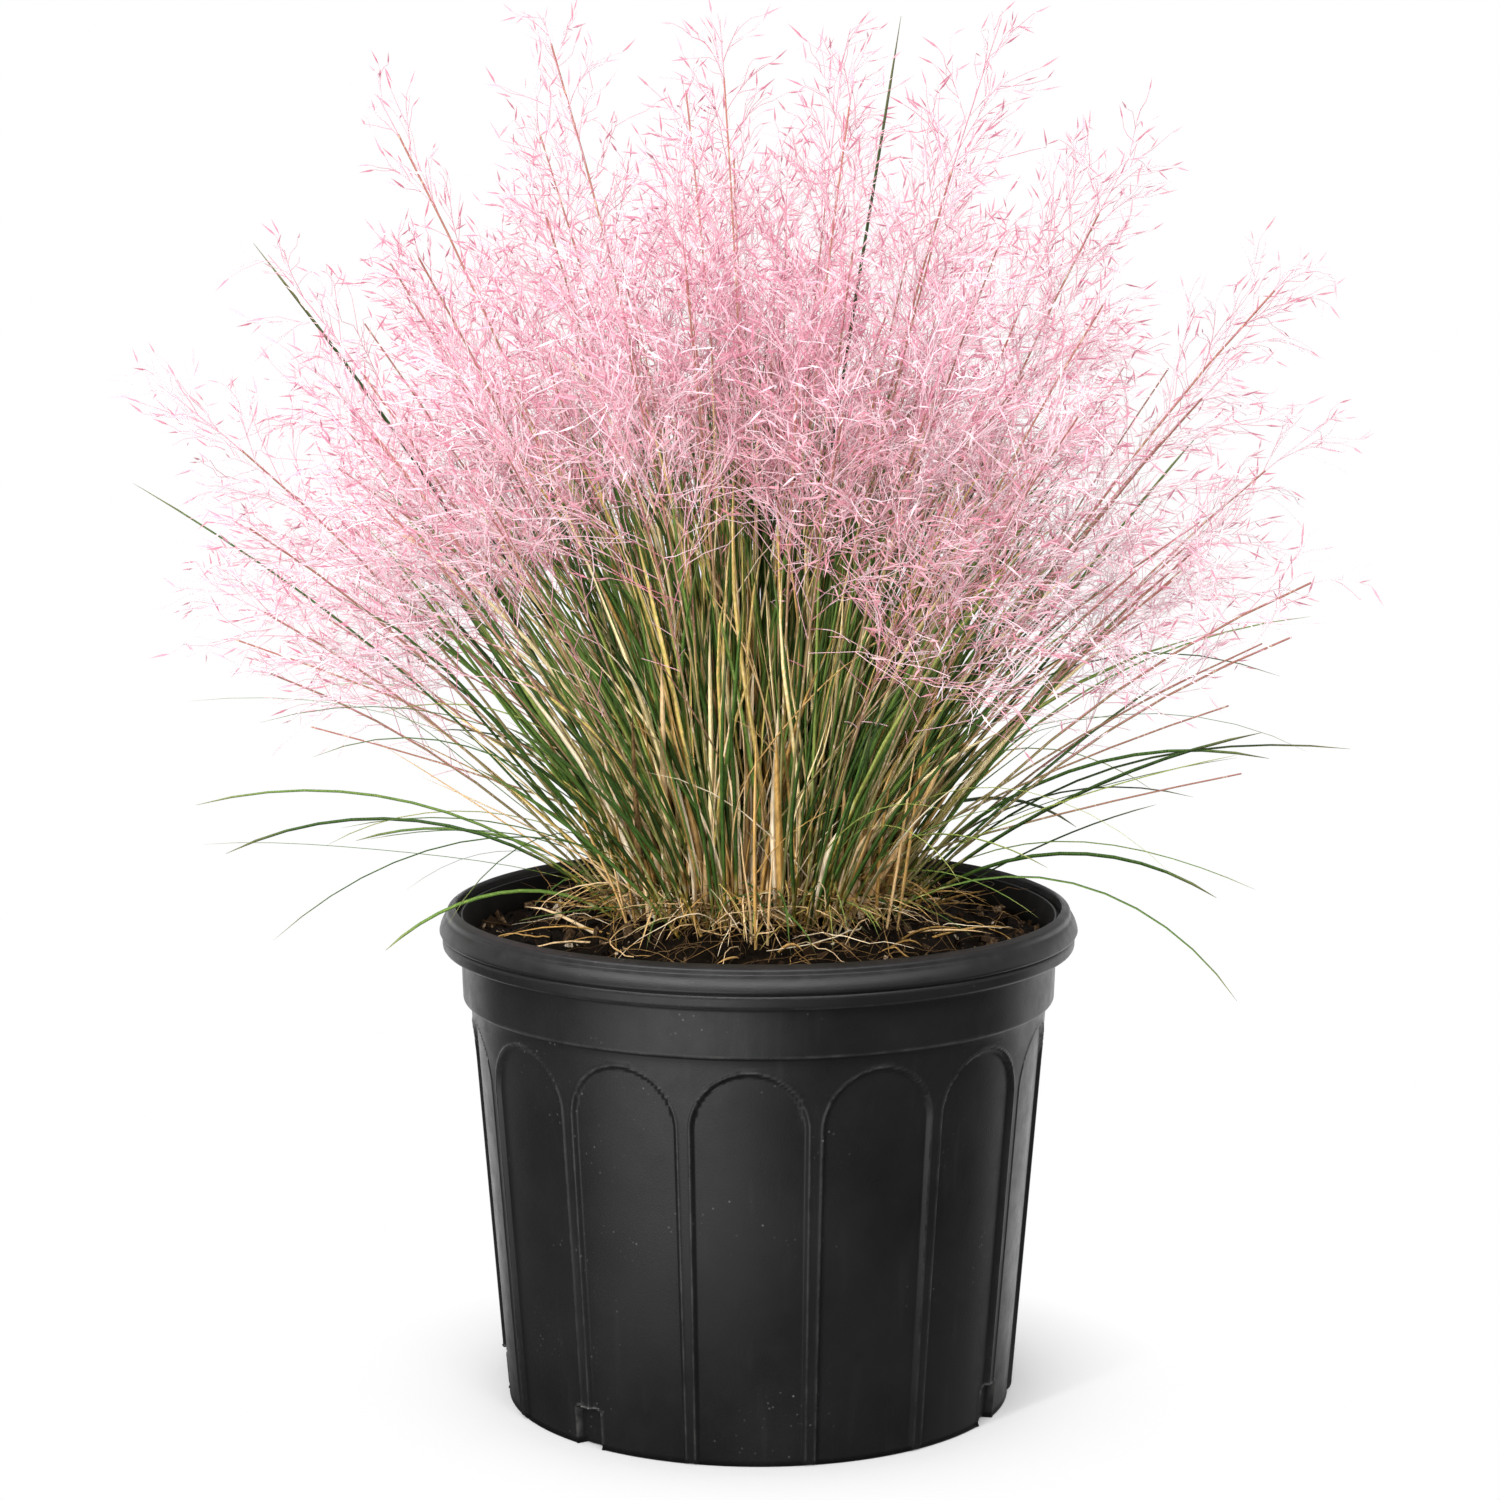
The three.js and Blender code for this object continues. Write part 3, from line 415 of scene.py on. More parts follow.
skin_tree, add, given = tree_with("skin_of_strands", [
    ("Corners", "NodeSocketInt"), ("Flatness", "NodeSocketFloat"), ("Grain", "NodeSocketObject"),
    ("Grain Width", "NodeSocketFloat"), ("Strand Finish", "NodeSocketMaterial"),
    ("Grain Finish", "NodeSocketMaterial")])
is_grain = add("FunctionNodeCompare", {"data_type": "FLOAT", "operation": "GREATER_THAN"},
               _0=named(add, "grain"), _1=0.5).outputs[0]
parted = add("GeometryNodeSeparateGeometry", {"domain": "POINT"}, Geometry=given["Geometry"], Selection=is_grain)
lines = add("GeometryNodeMeshToCurve", Mesh=parted.outputs["Inverted"])
rolled = add("GeometryNodeSetCurveTilt", Curve=lines.outputs[0], Tilt=named(add, "roll"))
ring = add("GeometryNodeCurvePrimitiveCircle", Resolution=given["Corners"], Radius=1.0)
flat = add("ShaderNodeCombineXYZ", X=1.0, Y=given["Flatness"], Z=1.0)
profile = add("GeometryNodeTransform", Geometry=ring.outputs[0], Scale=flat.outputs[0])
swept = add("GeometryNodeCurveToMesh", Curve=rolled.outputs[0], Profile_Curve=profile.outputs[0],
            Scale=named(add, "thickness"), Fill_Caps=True)
smooth = add("GeometryNodeSetShadeSmooth", Geometry=swept.outputs[0])
spots = add("GeometryNodeMeshToPoints", Mesh=parted.outputs["Selection"])
shape = add("GeometryNodeObjectInfo", Object=given["Grain"])
turned = add("FunctionNodeAlignRotationToVector", {"axis": "Z"}, Vector=named(add, "heading", "FLOAT_VECTOR"))
reach = named(add, "length")
width = maths(add, "MULTIPLY", reach, given["Grain Width"])
size = add("ShaderNodeCombineXYZ", X=width, Y=width, Z=reach)
placed = add("GeometryNodeInstanceOnPoints", Points=spots.outputs[0], Instance=shape.outputs["Geometry"],
             Rotation=turned.outputs[0], Scale=size.outputs[0])
both = add("GeometryNodeJoinGeometry", Geometry=smooth.outputs[0])
skin_tree.links.new(placed.outputs[0], both.inputs[0])
real = add("GeometryNodeRealizeInstances", Geometry=both.outputs[0])
finished = add("GeometryNodeSetMaterial", Geometry=real.outputs[0], Material=given["Strand Finish"])
grained = add("GeometryNodeSetMaterial", Geometry=finished.outputs[0], Selection=is_grain,
              Material=given["Grain Finish"])
add("NodeGroupOutput", Geometry=grained.outputs[0])
print("skin tree has", len(skin_tree.nodes), "nodes")

# %% Make the grain, and a way to run a tree
GRAIN_BELLY, GRAIN_WIDTH = 0.34, 0.062      # shares of its length: where a spikelet is widest, and its half width
corner_angles = np.arange(3) * 2 * np.pi / 3
grain_mesh = bpy.data.meshes.new("spikelet_grain")
grain_mesh.from_pydata(
    [(0, 0, 0), (0, 0, 1), *((np.cos(a), np.sin(a), GRAIN_BELLY) for a in corner_angles)], [],
    [face for k in range(3) for face in ((0, 2 + (k + 1) % 3, 2 + k), (1, 2 + k, 2 + (k + 1) % 3))])
grain_shape = bpy.data.objects.new("spikelet_grain", grain_mesh)


def run_tree(piece, tree, values):
    """Runs a tree on a piece, swaps in the plain mesh that comes out, and removes the modifier."""
    modifier = piece.modifiers.new(tree.name, "NODES")
    modifier.node_group = tree
    for item in tree.interface.items_tree:
        if item.in_out == "INPUT" and item.name in values:
            modifier[item.identifier] = values[item.name]
    result = piece.evaluated_get(bpy.context.evaluated_depsgraph_get())
    plain = bpy.data.meshes.new_from_object(result)
    piece.modifiers.clear()
    piece.data = plain
    plain.name = piece.name
    return piece


def new_piece(name, mesh):
    piece = bpy.data.objects.new(name, mesh)
    bpy.context.scene.collection.objects.link(piece)
    return piece


def skinned(name, bundle, corners, flatness, finish):
    """A finished piece from a bundle."""
    piece = new_piece(name, bundle.mesh(name))
    run_tree(piece, skin_tree, {
        "Corners": corners, "Flatness": flatness, "Grain": grain_shape, "Grain Width": GRAIN_WIDTH,
        "Strand Finish": finish, "Grain Finish": spikelet_rose})
    for key in ("thickness", "roll", "grain", "length", "heading"):
        if key in piece.data.attributes:
            piece.data.attributes.remove(piece.data.attributes[key])
    triangles = sum(len(face.vertices) - 2 for face in piece.data.polygons)
    print(f"{name}: {triangles} triangles")
    return piece


print("a grain has", len(grain_mesh.polygons), "faces")

# %% [markdown]
# ## Pot
# The pot is moulded in black polypropylene: a cup with fourteen shallow arched panels, a plain
# band, a rim in tiers round an inner ledge, and drain notches at the foot. A lathe gives the
# round form, and Boolean cuts could make the panels, but they leave ragged faces on a curved wall.
# Here one grid of points goes round the whole section, and each point of the outer wall moves in
# or out by a rule: how far it is from the edge of the nearest arch. The columns of the grid lean
# with the panels' sides, so their long edges stay crisp.

# %% Write down the pot's section
POT_HEIGHT, FOOT_RADIUS, SHOULDER_RADIUS, SHOULDER_HEIGHT = 240.0, 122.3, 137.3, 189.0
WALL, FOOT_WALL = 3.0, 9.6                          # the foot is thicker, behind the notches
PANELS, PANEL_TURN = 14, 11.0
PANEL_HALF, PANEL_FOOT_HALF = 26.3, 24.3
PANEL_SPRING, PANEL_FOOT, PANEL_DEPTH = 161.0, 1.0, 1.8
NOTCH_HALF, NOTCH_HEIGHT, NOTCH_DEPTH, NOTCH_CORNER = 7.2, 19.0, 4.5, 2.6
NOTCH_RIBS = (2, 4, 6, 8, 10, 12)
PANEL_STEP = 2 * np.pi / PANELS
FIRST_RIB = np.radians(-90 + PANEL_TURN)


def arc(centre, radius, start, end, steps):
    """Points (radius from the axis, height) on part of a circle, from one angle to another."""
    turn = np.radians(np.linspace(start, end, steps))
    return [(centre[0] + radius * np.cos(a), centre[1] + radius * np.sin(a)) for a in turn]


def wall_radius(z):
    return FOOT_RADIUS + (SHOULDER_RADIUS - FOOT_RADIUS) * z / SHOULDER_HEIGHT


under_section = [(0, 2.0), (60, 2.0), (108, 2.0), (111, 1.2), (113, 0.0)]
foot_section = [(118.8, 0.0), *arc((119.3, 3.0), 3.0, -80, -12, 5)]
upper_section = [                                   # up the band and the rim, then down inside
    (137.5, 191.5), (137.9, 194.2), (138.5, 195.0), (139.6, 195.5), *arc((139.9, 196.9), 1.4, -70, 0, 4),
    (141.4, 199.5), (141.6, 204.0), (141.8, 211.0), *arc((144.4, 217.0), 2.4, 180, 95, 5), (147.6, 219.7),
    *arc((149.0, 222.2), 1.8, -70, 0, 4), (150.9, 224.6), (150.9, 226.1), (150.1, 226.7), (149.9, 227.1),
    (150.9, 227.4), (151.9, 227.8), (152.3, 228.6), *arc((136.5, 226.0), 16.0, 12, 34, 7), (149.1, 235.5),
    (148.9, 236.1), *arc((146.6, 236.9), 2.2, 0, 76, 6), (145.8, 239.6), (145.0, 240.0), (144.5, 239.6),
    (144.3, 237.6), (144.1, 234.6), (143.6, 233.6), (142.9, 233.6), (142.5, 234.6), (142.4, 235.7),
    (141.9, 236.2), (141.3, 235.8), (140.9, 234.0), (138.6, 228.0), (137.5, 222.0), (137.0, 212.0),
    (136.6, 205.0), (134.4, 196.0), (132.6, 187.0), (wall_radius(40) - WALL - PANEL_DEPTH, 40.0),
    (wall_radius(30) - FOOT_WALL, 30.0), (wall_radius(4) - FOOT_WALL, 4.0), (80, 3.6), (0, 3.6)]
wall_heights = np.concatenate([
    [3.4, 4.2, 5.0, 5.8, 7.0, 9.0, 11.0, 13.0], np.arange(14.4, 21.6, 0.8),
    [23, 26, 32, 46, 70, 95, 120, 140, 152, 158], np.arange(160, 189.6, 1.25)])
print("section:", len(under_section), len(foot_section), len(wall_heights), len(upper_section), "rows")

# %% Rule for the panels and the drain notches


def step(low, high, value):
    share = np.clip((value - low) / (high - low), 0, 1)
    return share * share * (3 - 2 * share)


def arch_distance(x, z, foot, spring, foot_half, half):
    """Distance to the edge of an arch: below zero inside it, above zero outside."""
    side = np.abs(x) - (foot_half + (half - foot_half) * np.clip((z - foot) / (spring - foot), 0, 1))
    crown = np.hypot(x, z - spring) - half
    return np.maximum(np.where(z > spring, crown, side), foot - z)


def slot_distance(x, z):
    """Distance to the edge of a drain notch, an upright slot with rounded top corners."""
    side, top = np.abs(x) - (NOTCH_HALF - NOTCH_CORNER), z - (NOTCH_HEIGHT - NOTCH_CORNER)
    outer = np.hypot(np.maximum(side, 0), np.maximum(top, 0))
    return outer + np.minimum(np.maximum(side, top), 0) - NOTCH_CORNER


def wall_rule(turn, z):
    """How far the outer wall stands out of its cone, and its edge lines of wear and painted highlight, by angle and
    height.
    """
    radius = wall_radius(z)
    panel = ((turn - FIRST_RIB) / PANEL_STEP) % 1 - 0.5
    edge = arch_distance(panel * PANEL_STEP * radius, z, PANEL_FOOT, PANEL_SPRING, PANEL_FOOT_HALF, PANEL_HALF)
    lip = np.exp(-((edge - 1.1) / 0.75) ** 2)
    # the light line on each panel edge is rubbed plastic and painted highlight
    offset, wear_and_sheen = -PANEL_DEPTH * (1 - step(-1.1, 0.9, edge)) + 0.4 * lip, 0.36 * lip ** 3
    for rib in NOTCH_RIBS:
        away = (turn - FIRST_RIB - rib * PANEL_STEP + np.pi) % (2 * np.pi) - np.pi
        notch = slot_distance(away * radius, z)
        inside = 1 - step(-0.7, 0.3, notch)
        lip = np.exp(-((notch - 0.8) / 0.6) ** 2)
        offset = offset * (1 - inside) - NOTCH_DEPTH * inside + 0.7 * lip
        wear_and_sheen = np.maximum(wear_and_sheen * (1 - inside), lip ** 3)
    return offset, wear_and_sheen


def wall_offset(turn, z):
    return wall_rule(turn, z)[0]


LANES_PANEL, LANES_EDGE, LANES_RIB = 15, 6, 4       # columns in half a panel, on its edge and half a rib
EDGE_WIDTH = 1.6
COARSE = 4                                          # fine columns to one column of the rim


def column_turns(z):
    """Angles of all columns at one height: dense where a panel's side passes."""
    radius = wall_radius(min(z, SHOULDER_HEIGHT))
    half = PANEL_FOOT_HALF + (PANEL_HALF - PANEL_FOOT_HALF) * np.clip(
        (z - PANEL_FOOT) / (PANEL_SPRING - PANEL_FOOT), 0, 1)
    inner, outer, end = half - EDGE_WIDTH, half + EDGE_WIDTH, PANEL_STEP / 2 * radius
    right = np.concatenate([np.linspace(0, inner, LANES_PANEL, endpoint=False),
                            np.linspace(inner, outer, LANES_EDGE, endpoint=False),
                            np.linspace(outer, end, LANES_RIB, endpoint=False)])
    lanes = np.concatenate([right, [end], -right[:0:-1]])
    lanes = np.sort(lanes)[:-1] if lanes.max() > end else np.sort(lanes)
    centres = FIRST_RIB + (np.arange(PANELS) + 0.5) * PANEL_STEP
    return (centres[:, None] + lanes[None, :] / radius).ravel()


print("columns round the pot:", len(column_turns(100.0)))

# %% Build the pot's grid


def row_of(radius, z, turns, offset=0.0):
    reach = radius + offset
    return np.stack([reach * np.cos(turns), reach * np.sin(turns), np.full_like(turns, z)], axis=1)


def slopes(section):
    """Direction of a section at each of its points, from the points before and after."""
    return np.gradient(np.array(section, float), axis=0)


def round_normals(section, turns):
    """For each ring of a plain round section, its normals at the column angles."""
    rings = []
    for along_radius, along_height in slopes(section):
        normal = np.stack([along_height * np.cos(turns), along_height * np.sin(turns),
                           np.full_like(turns, -along_radius)], axis=1)
        rings.append(normal / max(np.hypot(along_radius, along_height), 1e-9))
    return rings


def wall_normals(z, turns):
    """Normals of the panelled wall, from the slope of its rule."""
    small = 0.15
    radius = wall_radius(z) + wall_offset(turns, z)
    round_slope = (wall_offset(turns + small / radius, z) - wall_offset(turns - small / radius, z)) / (2 * small)
    rise_slope = (wall_radius(z + small) + wall_offset(turns, z + small)
                  - wall_radius(z - small) - wall_offset(turns, z - small)) / (2 * small)
    out = np.stack([np.cos(turns), np.sin(turns), np.zeros_like(turns)], axis=1)
    aside = np.stack([-np.sin(turns), np.cos(turns), np.zeros_like(turns)], axis=1)
    normal = out - aside * round_slope[:, None] - np.array([0, 0, 1.0]) * rise_slope[:, None]
    return normal / np.linalg.norm(normal, axis=1)[:, None]


INSIDE_ROWS = 12                    # of the section, counted from its end
rows, normals, wear, faces, row_faces = [], [], [], [], []
row_start, count = [], 0


def add_row(points, row_normals, wear_and_sheen=0.0):
    global count
    row_start.append(count)
    rows.append(points)
    normals.append(row_normals)
    wear.append(np.full(len(points), 0.0) + wear_and_sheen)
    count += len(points)


foot_turns = column_turns(wall_heights[0])
under_turns = foot_turns[::COARSE]
upper_turns = column_turns(SHOULDER_HEIGHT)[::COARSE]
add_row(np.array([[0, 0, under_section[0][1]]]), np.array([[0, 0, -1.0]]))
for (radius, z), ring in zip(under_section[1:], round_normals(under_section, under_turns)[1:]):
    add_row(row_of(radius, z, under_turns), ring)
for (radius, z), ring in zip(foot_section, round_normals(foot_section, foot_turns)):
    add_row(row_of(radius, z, foot_turns, wall_offset(foot_turns, z)), ring)
for z in wall_heights:
    turns = column_turns(z)
    add_row(row_of(wall_radius(z), z, turns, wall_offset(turns, z)), wall_normals(z, turns), wall_rule(turns, z)[1])
for (radius, z), ring in zip(upper_section[:-1], round_normals(upper_section, upper_turns)[:-1]):
    add_row(row_of(radius, z, upper_turns), ring)
add_row(np.array([[0, 0, upper_section[-1][1]]]), np.array([[0, 0, 1.0]]))

for low, high in zip(range(len(rows) - 1), range(1, len(rows))):
    below, above = row_start[low], row_start[high]
    few, many = len(rows[low]), len(rows[high])
    row_faces.append(len(faces))
    if few == 1:
        faces += [(below, above + (k + 1) % many, above + k) for k in range(many)]
    elif many == 1:
        faces += [(below + k, below + (k + 1) % few, above) for k in range(few)]
    elif few == many:
        faces += [(below + k, below + (k + 1) % few, above + (k + 1) % few, above + k) for k in range(few)]
    elif few < many:
        faces += [(below + k, below + (k + 1) % few,
                   *(above + (COARSE * (k + 1) - j) % many for j in range(COARSE + 1))) for k in range(few)]
    else:
        faces += [(*(below + (COARSE * k + j) % few for j in range(COARSE + 1)),
                   above + (k + 1) % many, above + k) for k in range(many)]

pot_mesh = bpy.data.meshes.new("nursery_pot")
pot_mesh.from_pydata((np.concatenate(rows) * MM).tolist(), [], faces)
# edge lines of rubbed plastic and painted highlight, read by the pot's finish
pot_mesh.attributes.new("wear", "FLOAT", "POINT").data.foreach_set("value", np.concatenate(wear))
inside = np.arange(len(faces)) >= row_faces[-INSIDE_ROWS]
pot_mesh.polygons.foreach_set("material_index", inside.astype(np.int32))
pot_mesh.shade_smooth()
pot_mesh.normals_split_custom_set_from_vertices(np.concatenate(normals).tolist())
pot = new_piece("nursery_pot", pot_mesh)
print("pot:", sum(len(face) - 2 for face in faces), "triangles")

# %% [markdown]
# ## Black plastic
# Recycled black polypropylene is never a clean mirror. It is satin, with a fine moulded grain,
# faint vertical scuffs where pots were stacked, and pale dust that settles on the rim and clings
# in specks. The thin pale lines on the panel and notch edges and on two rim edges are rubbed
# plastic and painted highlight at once. The colour stays near black, and most of what is seen comes
# from the roughness, so the noise drives the roughness and only a little of the colour. Inside,
# where soil has rubbed it, the plastic is dull, so the faces from the ledge down get a second
# finish, duller and darker; the darkness is painted shade.

# %% Finish of the pot
pot_plastic, add = new_material("pot_plastic")
place = own_place(add)
cloudy, moulded = noise(add, place, 14.0, 4.0), noise(add, place, 1400.0, 2.0)
scuffs, wear_and_sheen = streaks(add, 160.0, 14.0, 5.0), noise(add, place, 85.0, 5.0, 0.7)
specks = add("ShaderNodeTexVoronoi", Vector=place, Scale=240.0)
speck = maths(add, "MULTIPLY", scaled(add, specks.outputs["Distance"], 1.0, 0.0, 0.06, 0.16),
              scaled(add, noise(add, place, 30.0, 3.0), 0.0, 1.0, 0.55, 0.72))
height = add("ShaderNodeSeparateXYZ", Vector=place).outputs["Z"]
# thin light lines on two convex rim edges are rubbed plastic and painted highlight; the top of the lip gets dust
edges = ramp(add, scaled(add, height, 0.0, 1.0, 0.19, 0.24), [
    (0.1, (0, 0, 0)), (0.125, (170, 170, 170)), (0.15, (0, 0, 0)), (0.58, (0, 0, 0)), (0.6, (190, 190, 190)),
    (0.63, (0, 0, 0)), (0.8, (0, 0, 0)), (0.9, (110, 110, 110)), (1.0, (90, 90, 90))])
rim_wear_dust_and_highlight = maths(add, "MULTIPLY", edges, scaled(add, wear_and_sheen, 0.25, 1.0, 0.42, 0.7))
# light lines on the panel and notch edges: rubbed plastic and painted highlight
panel_wear_and_highlight = maths(add, "MULTIPLY", attribute(add, "wear"), scaled(add, wear_and_sheen, 0.1, 0.9, 0.4, 0.66))
dust_and_highlight = maths(add, "MAXIMUM", speck, maths(add, "MAXIMUM", panel_wear_and_highlight, rim_wear_dust_and_highlight))
black = blended(add, scaled(add, cloudy, 0.0, 1.0, 0.3, 0.7), srgb(15, 15, 16), srgb(25, 25, 26))
scuffed = blended(add, scaled(add, scuffs, 0.0, 0.1, 0.6, 0.78), black, srgb(58, 58, 60))
with_dust_and_highlight = blended(add, scaled(add, dust_and_highlight, 0.0, 0.5), scuffed, srgb(118, 116, 113))
surface(add, with_dust_and_highlight, scaled(add, wear_and_sheen, 0.27, 0.42, 0.3, 0.7), 0.4, (moulded, 0.18, 0.0004))
pot.data.materials.append(pot_plastic)
print("pot_plastic is satin black with dust")

# %% Finish of the pot's inside
pot_inside, add = new_material("pot_inside")
grime = scaled(add, noise(add, own_place(add), 60.0, 4.0), 0.0, 1.0, 0.4, 0.7)
# painted shade: darker than the outside plastic; the low gloss is the dull rubbed surface
surface(add, blended(add, grime, srgb(6, 6, 6), srgb(20, 18, 15)), 0.6, 0.12)
pot.data.materials.append(pot_inside)
print("pot_inside is dull and darker")
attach(pot, "root")
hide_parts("pot")

# %% [markdown]
# ## Potting mix
# Nursery mix is dark composted bark with pale fibres, chips and a few white grains. Its surface is
# a low dome, about 17 mm under the rim at its edge and heaped with litter round the crown. It is a
# closed lathe form whose top is pushed up and down by waves, which keeps the weight of the lumps.
# Loose chips are scattered over it by Geometry Nodes, because they lie anyhow and there are more
# than a thousand of them.

# %% Shape the soil
SOIL_EDGE, SOIL_RISE, SOIL_RELIEF, SOIL_RADIUS = 211.0, 4.0, 1.6, 136.0
SOIL_FOOT, SOIL_NARROW = 4.2, 108.0         # where it stands on the pot's floor, inside the notches
CROWN_CENTRE, SPROUT = 215.0, 4.0
LITTER, MOUND, MOUND_REACH = 12.0, 11.0, 84.0    # loose litter on the dome, heaped round the stems


def soil_height(x, y):
    """The dome with its broad lumps, as the CAD soil has it, and the litter that lies on it."""
    out = np.hypot(x, y)
    dome = SOIL_EDGE + SOIL_RISE * (1 - (out / SOIL_RADIUS) ** 2)
    lumps = SOIL_RELIEF * np.sin(x * 0.09 + 1.3) * np.sin(y * 0.11 + 0.4)
    return dome + lumps + LITTER + MOUND * np.exp(-(out / MOUND_REACH) ** 4)


def crumble(x, y):
    """Small lumps on top of the broad ones."""
    return (1.3 * np.sin(x * 0.31 + 2 * np.sin(y * 0.17)) * np.sin(y * 0.29 + 1.7 * np.sin(x * 0.21))
            + 0.9 * np.sin(x * 0.83 + y * 0.37) * np.sin(y * 0.71 - x * 0.44)
            + 0.5 * np.sin(x * 1.9 - y * 1.1) * np.sin(y * 1.7 + x * 0.9))


SOIL_COLUMNS, SOIL_RINGS = 110, 42
soil_turns = np.arange(SOIL_COLUMNS) * 2 * np.pi / SOIL_COLUMNS
soil_rows = [(0.0, SOIL_FOOT), (SOIL_NARROW, SOIL_FOOT), (SOIL_NARROW, 32.0), (114.0, 42.0), (131.0, 186.0),
             (135.6, 208.0)]
soil_points = [np.array([[0, 0, SOIL_FOOT]])] + [row_of(r, z, soil_turns) for r, z in soil_rows[1:]]
for radius in np.linspace(SOIL_RADIUS, 0, SOIL_RINGS, endpoint=False):
    ring = row_of(radius, 0.0, soil_turns)
    fade = min(1.0, (SOIL_RADIUS - radius) / 6)
    ring[:, 2] = soil_height(ring[:, 0], ring[:, 1]) + fade * crumble(ring[:, 0], ring[:, 1])
    soil_points.append(ring)
soil_points.append(np.array([[0, 0, soil_height(0, 0) + crumble(0, 0)]]))
starts = np.cumsum([0] + [len(ring) for ring in soil_points])
soil_faces = [(0, starts[1] + (k + 1) % SOIL_COLUMNS, starts[1] + k) for k in range(SOIL_COLUMNS)]
for low in starts[1:-3]:
    high = low + SOIL_COLUMNS
    soil_faces += [(low + k, low + (k + 1) % SOIL_COLUMNS, high + (k + 1) % SOIL_COLUMNS, high + k)
                   for k in range(SOIL_COLUMNS)]
low, top = starts[-3], starts[-2]
soil_faces += [(low + k, low + (k + 1) % SOIL_COLUMNS, top) for k in range(SOIL_COLUMNS)]
soil_mesh = bpy.data.meshes.new("potting_mix")
soil_mesh.from_pydata((np.concatenate(soil_points) * MM).tolist(), [], [tuple(map(int, f)) for f in soil_faces])
soil_mesh.shade_smooth()
soil = new_piece("potting_mix", soil_mesh)
print("soil:", sum(len(face) - 2 for face in soil_faces), "triangles")

# %% Finish of the soil
soil_dark, add = new_material("soil_dark")
place = own_place(add)
crumbs = noise(add, place, 260.0, 6.0, 0.7)
earth = ramp(add, crumbs, [(0.3, (5, 3, 1)), (0.54, (13, 9, 5)), (0.68, (34, 24, 16)), (0.82, (80, 64, 45))])
damp = blended(add, scaled(add, noise(add, place, 45.0, 3.0), 0.0, 0.6, 0.4, 0.65), earth, srgb(18, 11, 6))
surface(add, damp, 0.92, 0.12, (crumbs, 0.9, 0.002))
soil.data.materials.append(soil_dark)
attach(soil, "root")
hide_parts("soil")
print("soil_dark is mottled and rough")

# %% Finish of the bark chips
bark, add = new_material("bark")
brown = ramp(add, varied(add, noise(add, own_place(add), 700.0, 3.0), 0.2), [
    (0.0, (7, 4, 2)), (0.5, (22, 15, 9)), (0.84, (54, 40, 27)), (0.95, (112, 90, 66)), (1.0, (196, 182, 160))])
surface(add, brown, 0.85, 0.15)
print("bark runs from near black to pale fibre")

# %% Build the tree that scatters the chips
chip_tree, add, given = tree_with("scattered_chips", [
    ("Chips", "NodeSocketFloat"), ("Chip", "NodeSocketObject"), ("Smallest", "NodeSocketFloat"),
    ("Largest", "NodeSocketFloat"), ("Seed", "NodeSocketInt"), ("Finish", "NodeSocketMaterial")])
spots = add("GeometryNodeDistributePointsOnFaces", Mesh=given["Geometry"], Density=given["Chips"],
            Seed=given["Seed"])
anyhow = add("FunctionNodeRandomValue", {"data_type": "FLOAT_VECTOR"}, _0=(-3.1, -3.1, -3.1), _1=(3.1, 3.1, 3.1),
             Seed=given["Seed"])
grade = add("FunctionNodeRandomValue", {"data_type": "FLOAT"}, _2=0.0, _3=1.0, Seed=11)
few_large = maths(add, "POWER", grade.outputs[1], 3.0)
chip_size = scaled(add, few_large, given["Smallest"], given["Largest"])
shape = add("GeometryNodeObjectInfo", Object=given["Chip"])
laid = add("GeometryNodeInstanceOnPoints", Points=spots.outputs["Points"], Instance=shape.outputs["Geometry"],
           Rotation=anyhow.outputs[0], Scale=chip_size)
shade = add("FunctionNodeRandomValue", {"data_type": "FLOAT"}, _2=0.0, _3=1.0, Seed=5)
tinted = add("GeometryNodeStoreNamedAttribute", {"data_type": "FLOAT", "domain": "INSTANCE"},
             Geometry=laid.outputs[0], Name="tint", Value=shade.outputs[1])
real = add("GeometryNodeRealizeInstances", Geometry=tinted.outputs[0])
finished = add("GeometryNodeSetMaterial", Geometry=real.outputs[0], Material=given["Finish"])
add("NodeGroupOutput", Geometry=finished.outputs[0])
print("chip tree has", len(chip_tree.nodes), "nodes")

# %% Scatter chips on the soil
CHIP_DENSITY, SMALLEST_CHIP, LARGEST_CHIP = 25000.0, 0.0008, 0.0062      # to a square metre, and metres
chip_mesh = bpy.data.meshes.new("bark_chip")
chip_mesh.from_pydata(
    [(-1, -0.4, -0.1), (0.9, -0.5, -0.16), (1.1, 0.3, 0.05), (-0.7, 0.5, 0.0), (-0.8, -0.2, 0.3), (0.7, -0.3, 0.2),
     (0.8, 0.25, 0.33), (-0.5, 0.3, 0.25)], [],
    [(0, 3, 2, 1), (4, 5, 6, 7), (0, 1, 5, 4), (1, 2, 6, 5), (2, 3, 7, 6), (3, 0, 4, 7)])
chip_shape = bpy.data.objects.new("bark_chip", chip_mesh)
top_points, first = np.concatenate(soil_points[len(soil_rows):]), starts[len(soil_rows)]
patch_mesh = bpy.data.meshes.new("soil_top")
patch_mesh.from_pydata((top_points * MM).tolist(), [],
                       [tuple(int(i - first) for i in f) for f in soil_faces if min(f) >= first])
chips = new_piece("soil_chips", patch_mesh)
run_tree(chips, chip_tree, {"Chips": CHIP_DENSITY, "Chip": chip_shape, "Smallest": SMALLEST_CHIP,
                            "Largest": LARGEST_CHIP, "Seed": 7, "Finish": bark})
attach(chips, "root")
print("chips:", len(chips.data.polygons) * 2, "triangles")

# %% [markdown]
# ## The plan of the clump
# The strands of the CAD model say where the real ones must be. Culms can be worked out again from
# their tips, because each is an arc whose bend follows from its lean. Blades were drawn one by one,
# so they are read back from the CAD mesh: each ends in a point where three faces meet, and below
# it the corners come in rings of three. Following those rings from the point down gives the line.

# %% Arcs between a root and a tip
GOLDEN = np.pi * (3 - np.sqrt(5))


